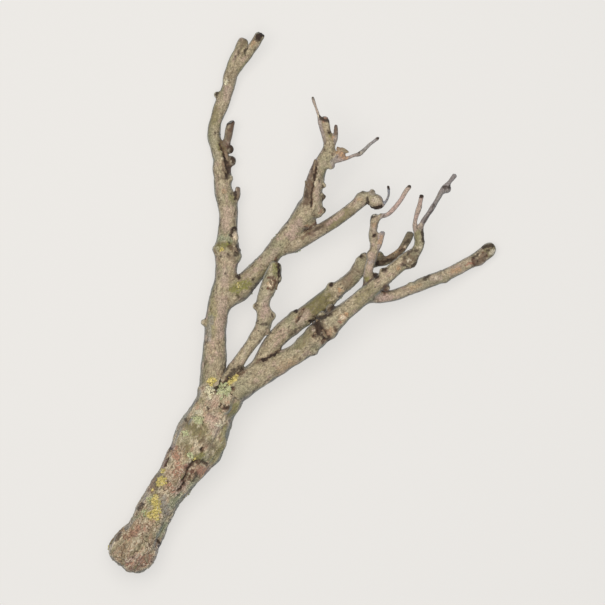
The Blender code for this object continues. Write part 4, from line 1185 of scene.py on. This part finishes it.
def looseChip(start, end, width, facing, seed):  # a thin curled plate, closed all round
    if facing:
        start, end = (np.array([*toPlan(px, py)[0], z]) for px, py, z in (start, end))
        facing, lift = np.array(facing[0]), 0.4
    else:
        (start, firstWay), (end, lastWay) = topAt(*start), topAt(*end)
        facing, lift = firstWay + lastWay, 0.9
    run = end - start
    facing = facing - run * (facing @ run) / (run @ run)
    facing /= np.linalg.norm(facing)
    across = np.cross(facing, run / np.linalg.norm(run))
    rows, columns = 15, 9
    u, v = (t.ravel() for t in np.meshgrid(np.linspace(0, 1, rows), np.linspace(-1, 1, columns), indexing="ij"))
    jag = softNoise(np.stack([u * 5, v * 1.5, np.full(len(u), seed)], 1), 7)
    half = 0.5 * width * (0.55 + 0.5 * np.sin(np.pi * np.clip(0.15 + 0.75 * u, 0, 1)) + 0.22 * jag)
    half *= np.sqrt(np.clip(1.02 - u**6, 0, 1))
    length = u + 0.06 * softNoise(np.stack([v * 2, u, np.full(len(u), seed)], 1), 8) * u
    rise = -0.35 + (lift + 0.35) * u**1.5 - 0.35 * v**2 * half + 0.25 * jag
    top = start + length[:, None] * run + (v * half)[:, None] * across + rise[:, None] * facing
    under = top - (0.75 - 0.35 * u)[:, None] * facing
    at = np.arange(rows * columns).reshape(rows, columns)
    plate = np.stack([at[:-1, :-1], at[1:, :-1], at[1:, 1:], at[:-1, 1:]], 2).reshape(-1, 4)
    rim = [*at[:, 0], *at[-1, 1:], *at[-2::-1, -1], *at[0, -2:0:-1]]
    faces = [*plate, *(plate[:, ::-1] + at.size)]
    faces += [(b, a, a + at.size, b + at.size) for a, b in zip(rim, rim[1:] + rim[:1])]
    return np.vstack([top, under]), faces, np.concatenate([1 - 0.6 * u, 0.2 + 0 * u])


def looseBarkOf(number, limb):
    parts, shade, brown = [], [], []
    for k, (start, end, width, *facing) in enumerate(looseBark.get(limb["node"], [])):
        *part, own = looseChip(start, end, width, facing, 3.3 * k + number)
        parts.append(part)
        shade.append(own)
        brown.append((0.9 if number and not facing else 0.5) * (1 - 0.6 * own))
    if not parts:
        return
    verts, faces = merged(parts)
    shade, brown = np.concatenate(shade), np.concatenate(brown)
    # hollow is painted shade, darkest under each chip and towards its tip
    numbers = {"paintedHollowShade": 0.5 * (1 - shade), "flake": 0.8 * shade, "girth": np.ones(len(verts)), "brown": brown}
    piece = addPiece(limb["node"] + "_loose_bark", verts, faces, numbers, materials[limb["slot"]], verts * 1.3)
    print(piece.name, len(verts), "points")


# lichen stands on the bark in small cupped lobes
crusts = {
    "share": 0.26,  # of the bark points under it that carry a lobe
    "small": 0.5,
    "large": 1.3,
    "rise": 0.45,
    "fewest": 5,  # lobes worth a piece
    "yellow": ((146, 134, 68), (230, 208, 134)),  # darker tone for random tint and painted shade in its cup and under it, lighter one for random tint and painted highlight on its rims
    "green": ((140, 144, 102), (214, 212, 168)),
    "pale": ((164, 156, 130), (238, 226, 190)),
}


def lichenOf(number, limb):
    most = np.maximum(np.maximum(mask["yellow"], mask["green"]), mask["pale"])
    pick = scatter(np.stack([np.arange(count), np.full(count, 5), np.full(count, 11)], 1), 3) / 2**32
    carries = (most > 0.3) & (pick < crusts["share"] * most**2) & (points[:, 2] > 1.5)
    own = np.nonzero((limbOf == number) & carries)[0]
    if len(own) < crusts["fewest"]:
        return
    sides = 7
    luck = np.stack([(pick[own] * k) % 1 for k in (977.0, 7919.0, 104729.0)], 1)
    radius = crusts["small"] + (crusts["large"] - crusts["small"]) * luck[:, 0] ** 2
    upward = normal[own] + 0.35 * (luck - 0.5)
    upward /= np.linalg.norm(upward, axis=1)[:, None]
    side = np.cross(upward, (0.31, 0.87, 0.11))
    side /= np.linalg.norm(side, axis=1)[:, None]
    over = np.cross(upward, side)
    centre = points[own] + 0.1 * upward
    tall = crusts["rise"] * (0.6 + 0.8 * luck[:, 1])[:, None] * upward
    verts = []
    for wide, high in ((0.62, 0.8), (1.0, 0.95), (0.85, -1.4)):
        for k in range(sides):
            turn = 2 * math.pi * (k / sides + luck[:, 2])
            reach = radius * wide * (1 + 0.22 * np.sin(3 * turn + 9 * luck[:, 1]))
            out = np.cos(turn)[:, None] * side + np.sin(turn)[:, None] * over
            verts.append(centre + reach[:, None] * out + high * tall)
    verts += [centre + 0.55 * tall, centre - 1.5 * crusts["rise"] * upward]
    each = len(verts)
    lobe = ringFaces(3, sides)
    faces = [tuple(i + k * each for i in face) for k in range(len(own)) for face in lobe]
    # painted highlight on each lobe's rim, and painted shade in its cup and under it
    shade = np.repeat((0.05, 0.3, -0.3, 0.0, -0.3), (sides, sides, sides, 1, 1))
    numbers = {"tintAndShade": np.repeat(0.1 + 0.75 * luck[:, 2], each) + np.tile(shade, len(own))}
    for kind in ("green", "pale"):
        numbers[kind] = np.repeat(mask[kind][own] >= most[own], each)
    piece = addPiece(limb["node"] + "_lichen", np.stack(verts, 1).reshape(-1, 3), faces, numbers, lichen)
    print(piece.name, len(own), "lobes")


# finishes: one for each age of bark, mixed from the same layers, in sRGB as seen in daylight
finishes = {
    # in each finish the crease tone is painted shade for furrows and hollows; worn and crown are the shares of
    # painted highlight on raised edges and on the tops
    "old_bark": {
        "light": (222, 203, 172), "deep": (158, 138, 110), "green": (144, 138, 98), "warm": (190, 148, 122),
        "blotch": (92, 74, 56), "paintedCreaseShade": (54, 41, 32),
        "paintedEdgeHighlight": 0.6, "paintedTopHighlight": 0.1, "blotches": 0.5, "speckle": 0.44, "bump": 0.8, "roughness": 0.92,
    },
    "limb_bark": {
        "light": (186, 170, 140), "deep": (140, 124, 98), "green": (134, 128, 96), "warm": (188, 158, 142),
        "blotch": (86, 69, 52), "paintedCreaseShade": (56, 43, 34),
        "paintedEdgeHighlight": 0.4, "paintedTopHighlight": 0.22, "blotches": 0.9, "speckle": 0.36, "bump": 0.6, "roughness": 0.88,
    },
    "young_bark": {
        "light": (186, 168, 142), "deep": (140, 123, 102), "green": (138, 130, 100), "warm": (192, 162, 148),
        "blotch": (90, 72, 56), "paintedCreaseShade": (58, 44, 36),
        "paintedEdgeHighlight": 0.35, "paintedTopHighlight": 0.28, "blotches": 0.85, "speckle": 0.32, "bump": 0.5, "roughness": 0.84,
    },
}
barkTones = {
    # crown is the painted highlight tone for the tops, edge the painted highlight tone for raised edges, flank the
    # painted cool shade tone for the sides
    "paintedTopHighlight": (212, 188, 156), "edge": (214, 200, 174), "paintedSideShade": (166, 168, 171), "flake": (172, 132, 106),
    "shoot": (162, 146, 144), "forkDeep": (132, 114, 88), "forkLight": (188, 170, 142),
}


def linear(rgb):
    return tuple((c / 255 / 12.92 if c / 255 < 0.04045 else ((c / 255 + 0.055) / 1.055) ** 2.4) for c in rgb) + (1.0,)


class Nodes:  # a short way to write a material's node tree
    def __init__(self, name):
        self.material = bpy.data.materials.new(name)
        self.material.use_nodes = True
        self.tree = self.material.node_tree
        self.shader = self.tree.nodes["Principled BSDF"]

    def put(self, node, inputs):
        for key, value in inputs.items():
            if isinstance(value, bpy.types.NodeSocket):
                self.tree.links.new(value, node.inputs[key])
            else:
                node.inputs[key].default_value = value
        return node.outputs

    def add(self, kind, inputs, **settings):
        node = self.tree.nodes.new(kind)
        for key, value in settings.items():
            setattr(node, key, value)
        return self.put(node, inputs)

    def read(self, name, part="Fac"):
        return self.add("ShaderNodeAttribute", {}, attribute_name=name)[part]

    def place(self):
        return self.add("ShaderNodeTexCoord", {})["Object"]

    def sums(self, operation, a, b, c=0.0, clamp=False):
        return self.add("ShaderNodeMath", {0: a, 1: b, 2: c}, operation=operation, use_clamp=clamp)[0]

    def times(self, a, b):
        return self.sums("MULTIPLY", a, b)

    def span(self, value, low, high, start=0.0, end=1.0):
        inputs = {"Value": value, "From Min": low, "From Max": high, "To Min": start, "To Max": end}
        return self.add("ShaderNodeMapRange", inputs, interpolation_type="SMOOTHSTEP")[0]

    def noise(self, place, scale, detail, rough, lengthwise=None):
        if lengthwise:
            place = self.add("ShaderNodeMapping", {"Vector": place, "Scale": (1, 1, lengthwise)})[0]
        inputs = {"Vector": place, "Scale": scale, "Detail": detail, "Roughness": rough}
        return self.add("ShaderNodeTexNoise", inputs)[0]

    def mix(self, share, a, b, blend="MIX"):  # sockets, or sRGB
        a, b = (tone if isinstance(tone, bpy.types.NodeSocket) else linear(tone) for tone in (a, b))
        return self.add("ShaderNodeMix", {0: share, 6: a, 7: b}, data_type="RGBA", blend_type=blend)[2]

    def finish(self, colour, rough, specular, height, strength, depth):
        bump = self.add("ShaderNodeBump", {"Height": height, "Strength": strength, "Distance": depth})[0]
        inputs = {"Base Color": colour, "Roughness": rough, "Specular IOR Level": specular, "Normal": bump}
        self.put(self.shader, inputs)
        return self.material


def barkMaterial(name, look):
    n = Nodes(name)
    grain = n.read("grain", "Vector")
    patchy = n.noise(grain, 0.06, 3, 0.6)
    cloudy = n.noise(grain, 0.17, 3, 0.6, 0.6)
    blotchy = n.noise(grain, 0.26, 4, 0.7, 0.55)
    streaky = n.noise(grain, 0.36, 3, 0.6, 0.5)
    speckled = n.noise(grain, 0.9, 3, 0.65, 0.7)
    fine = n.noise(grain, 2.4, 2, 0.6)
    paintedTopHighlight = n.read("paintedTopHighlight")
    colour = n.mix(n.span(streaky, 0.34, 0.62), look["deep"], look["light"])
    colour = n.mix(n.span(patchy, 0.42, 0.68, 0.0, 0.75), colour, look["green"])
    colour = n.mix(n.span(cloudy, 0.5, 0.7, 0.0, 0.7), colour, look["warm"])
    # painted highlight on the tops: fewer dark blotches there, and a light cream tone mixed in
    blotches = n.span(paintedTopHighlight, 0.0, 1.0, look["blotches"], look["blotches"] - look["paintedTopHighlight"])
    colour = n.mix(n.times(n.span(blotchy, 0.53, 0.66), blotches), colour, look["blotch"])
    share = n.times(paintedTopHighlight, n.span(cloudy, 0.3, 0.65, 1.3 * look["paintedTopHighlight"], 0.5 * look["paintedTopHighlight"]))
    colour = n.mix(share, colour, barkTones["paintedTopHighlight"])
    between = n.noise(n.place(), 320, 4, 0.65)  # where limbs meet their bark runs into one
    wood = n.mix(n.span(between, 0.36, 0.62), barkTones["forkDeep"], barkTones["forkLight"])
    colour = n.mix(n.read("fork"), colour, wood)
    colour = n.mix(n.span(n.read("girth"), 0.12, 0.23, 0.65, 0.0), colour, barkTones["shoot"])
    colour = n.mix(n.span(n.read("flake"), 0.3, 0.9, 0.0, 0.5), colour, barkTones["flake"])
    broken = n.sums("MULTIPLY_ADD", n.span(speckled, 0.3, 0.6), 0.7, 0.4)
    for kind, tone in tones.items():
        share = n.read(kind)
        if kind not in ("wood", "dark"):
            share = n.sums("MULTIPLY", share, broken, clamp=True)
        own = n.mix(n.span(fine, 0.3, 0.7), [c * 0.8 for c in tone], [min(255, c * 1.1) for c in tone])
        colour = n.mix(share, colour, own)
    # painted shade: a cool grey tone on the sides of the limbs, left off the dark marks
    paintedSideShade = n.times(n.read("paintedSideShade"), n.span(cloudy, 0.3, 0.7, 0.68, 0.42))
    colour = n.mix(paintedSideShade, colour, barkTones["paintedSideShade"])
    spots = n.span(speckled, 0.38, 0.64, 1 - look["speckle"], 1.22)
    colour = n.mix(1.0, colour, n.add("ShaderNodeCombineColor", {0: spots, 1: spots, 2: spots})[0], "MULTIPLY")
    # painted shade in the furrows, ring edges and plate seams
    furrow = n.times(n.read("furrow"), n.span(fine, 0.25, 0.6, 0.15, 0.48))
    colour = n.mix(furrow, colour, look["paintedCreaseShade"])
    # painted shade in the hollows of the shape
    colour = n.mix(n.span(n.read("paintedHollowShade"), 0.15, 0.95, 0.0, 0.75), colour, look["paintedCreaseShade"])
    # painted highlight on raised edges
    colour = n.mix(n.span(n.read("edge"), 0.2, 0.85, 0.0, look["paintedEdgeHighlight"]), colour, barkTones["edge"])
    rough = n.span(speckled, 0.3, 0.7, look["roughness"] - 0.12, look["roughness"] + 0.06)
    height = n.sums("ADD", n.times(speckled, 0.6), n.times(fine, 0.4))
    return n.finish(colour, rough, 0.3, height, look["bump"], 0.6 * mm)


def lichenMaterial():
    n = Nodes("lichen")
    fine = n.noise(n.place(), 900, 3, 0.6)
    tintAndShade = n.sums("ADD", n.read("tintAndShade"), n.sums("MULTIPLY_ADD", fine, 0.8, -0.4), clamp=True)
    yellow, green, pale = (n.mix(tintAndShade, *crusts[kind]) for kind in lichens)
    colour = n.mix(n.read("pale"), n.mix(n.read("green"), yellow, green), pale)
    return n.finish(colour, 0.9, 0.2, fine, 0.5, 0.3 * mm)


materials = {name: barkMaterial(name, look) for name, look in finishes.items()}
lichen = lichenMaterial()
for number, limb in enumerate(limbs):
    limbPiece(number, limb)
    looseBarkOf(number, limb)
    lichenOf(number, limb)

# floor, light and camera, in metres
studio = {
    "floorReach": 6,
    "floorDrop": 0.0004,
    "floorGlow": 0.7,
    "floorColour": (0.22, 0.21, 0.2),
    "floorGlowColour": (237, 234, 230),  # sRGB
    "world": 0.44,
    "worldColour": (0.78, 0.89, 1.0),
    "keyPower": 30.0,
    "keyColour": (1.0, 0.965, 0.90),
    "keyPlace": (-0.25, 0.2, 1.8),
    "keySize": 1.6,
    "pictureWidth": 0.605,
    "pictureHeight": 0.04,  # above the floor, where the picture's scale holds
    "lens": 300,  # millimetres, as the sensor's width
    "sensor": 36,
}
far, low = studio["floorReach"], -studio["floorDrop"]
floorMesh = bpy.data.meshes.new("floor")
floorMesh.from_pydata([(-far, -far, low), (far, -far, low), (far, far, low), (-far, far, low)], [], [(0, 1, 2, 3)])
floor = addObject("floor", floorMesh)
n = Nodes("pale_floor")
glow = {"Emission Color": linear(studio["floorGlowColour"]), "Emission Strength": studio["floorGlow"]}
n.put(n.shader, {"Base Color": (*studio["floorColour"], 1), "Roughness": 0.95, **glow})
floorMesh.materials.append(n.material)
floor.visible_diffuse = False  # so that its glow doesn't light the branch from below

scene = bpy.context.scene
scene.world = bpy.data.worlds.new("studio")
scene.world.use_nodes = True
sky = scene.world.node_tree.nodes["Background"].inputs
sky["Color"].default_value = (*studio["worldColour"], 1)
sky["Strength"].default_value = studio["world"]
lamp = bpy.data.lights.new("key", "AREA")
lamp.energy = studio["keyPower"]
lamp.color = studio["keyColour"]
lamp.size = studio["keySize"]
key = addObject("key", lamp)
key.location = studio["keyPlace"]
key.rotation_mode = "QUATERNION"
key.rotation_quaternion = (-Vector(studio["keyPlace"])).to_track_quat("-Z", "Y")

lens = bpy.data.cameras.new("overhead")
lens.lens = studio["lens"]
lens.sensor_width = studio["sensor"]
lens.sensor_fit = "HORIZONTAL"
lens.clip_end = 50
camera = addObject("overhead", lens)
camera.location = (0, 0, studio["pictureWidth"] * lens.lens / lens.sensor_width + studio["pictureHeight"])
scene.camera = camera
scene.view_settings.view_transform = "Standard"
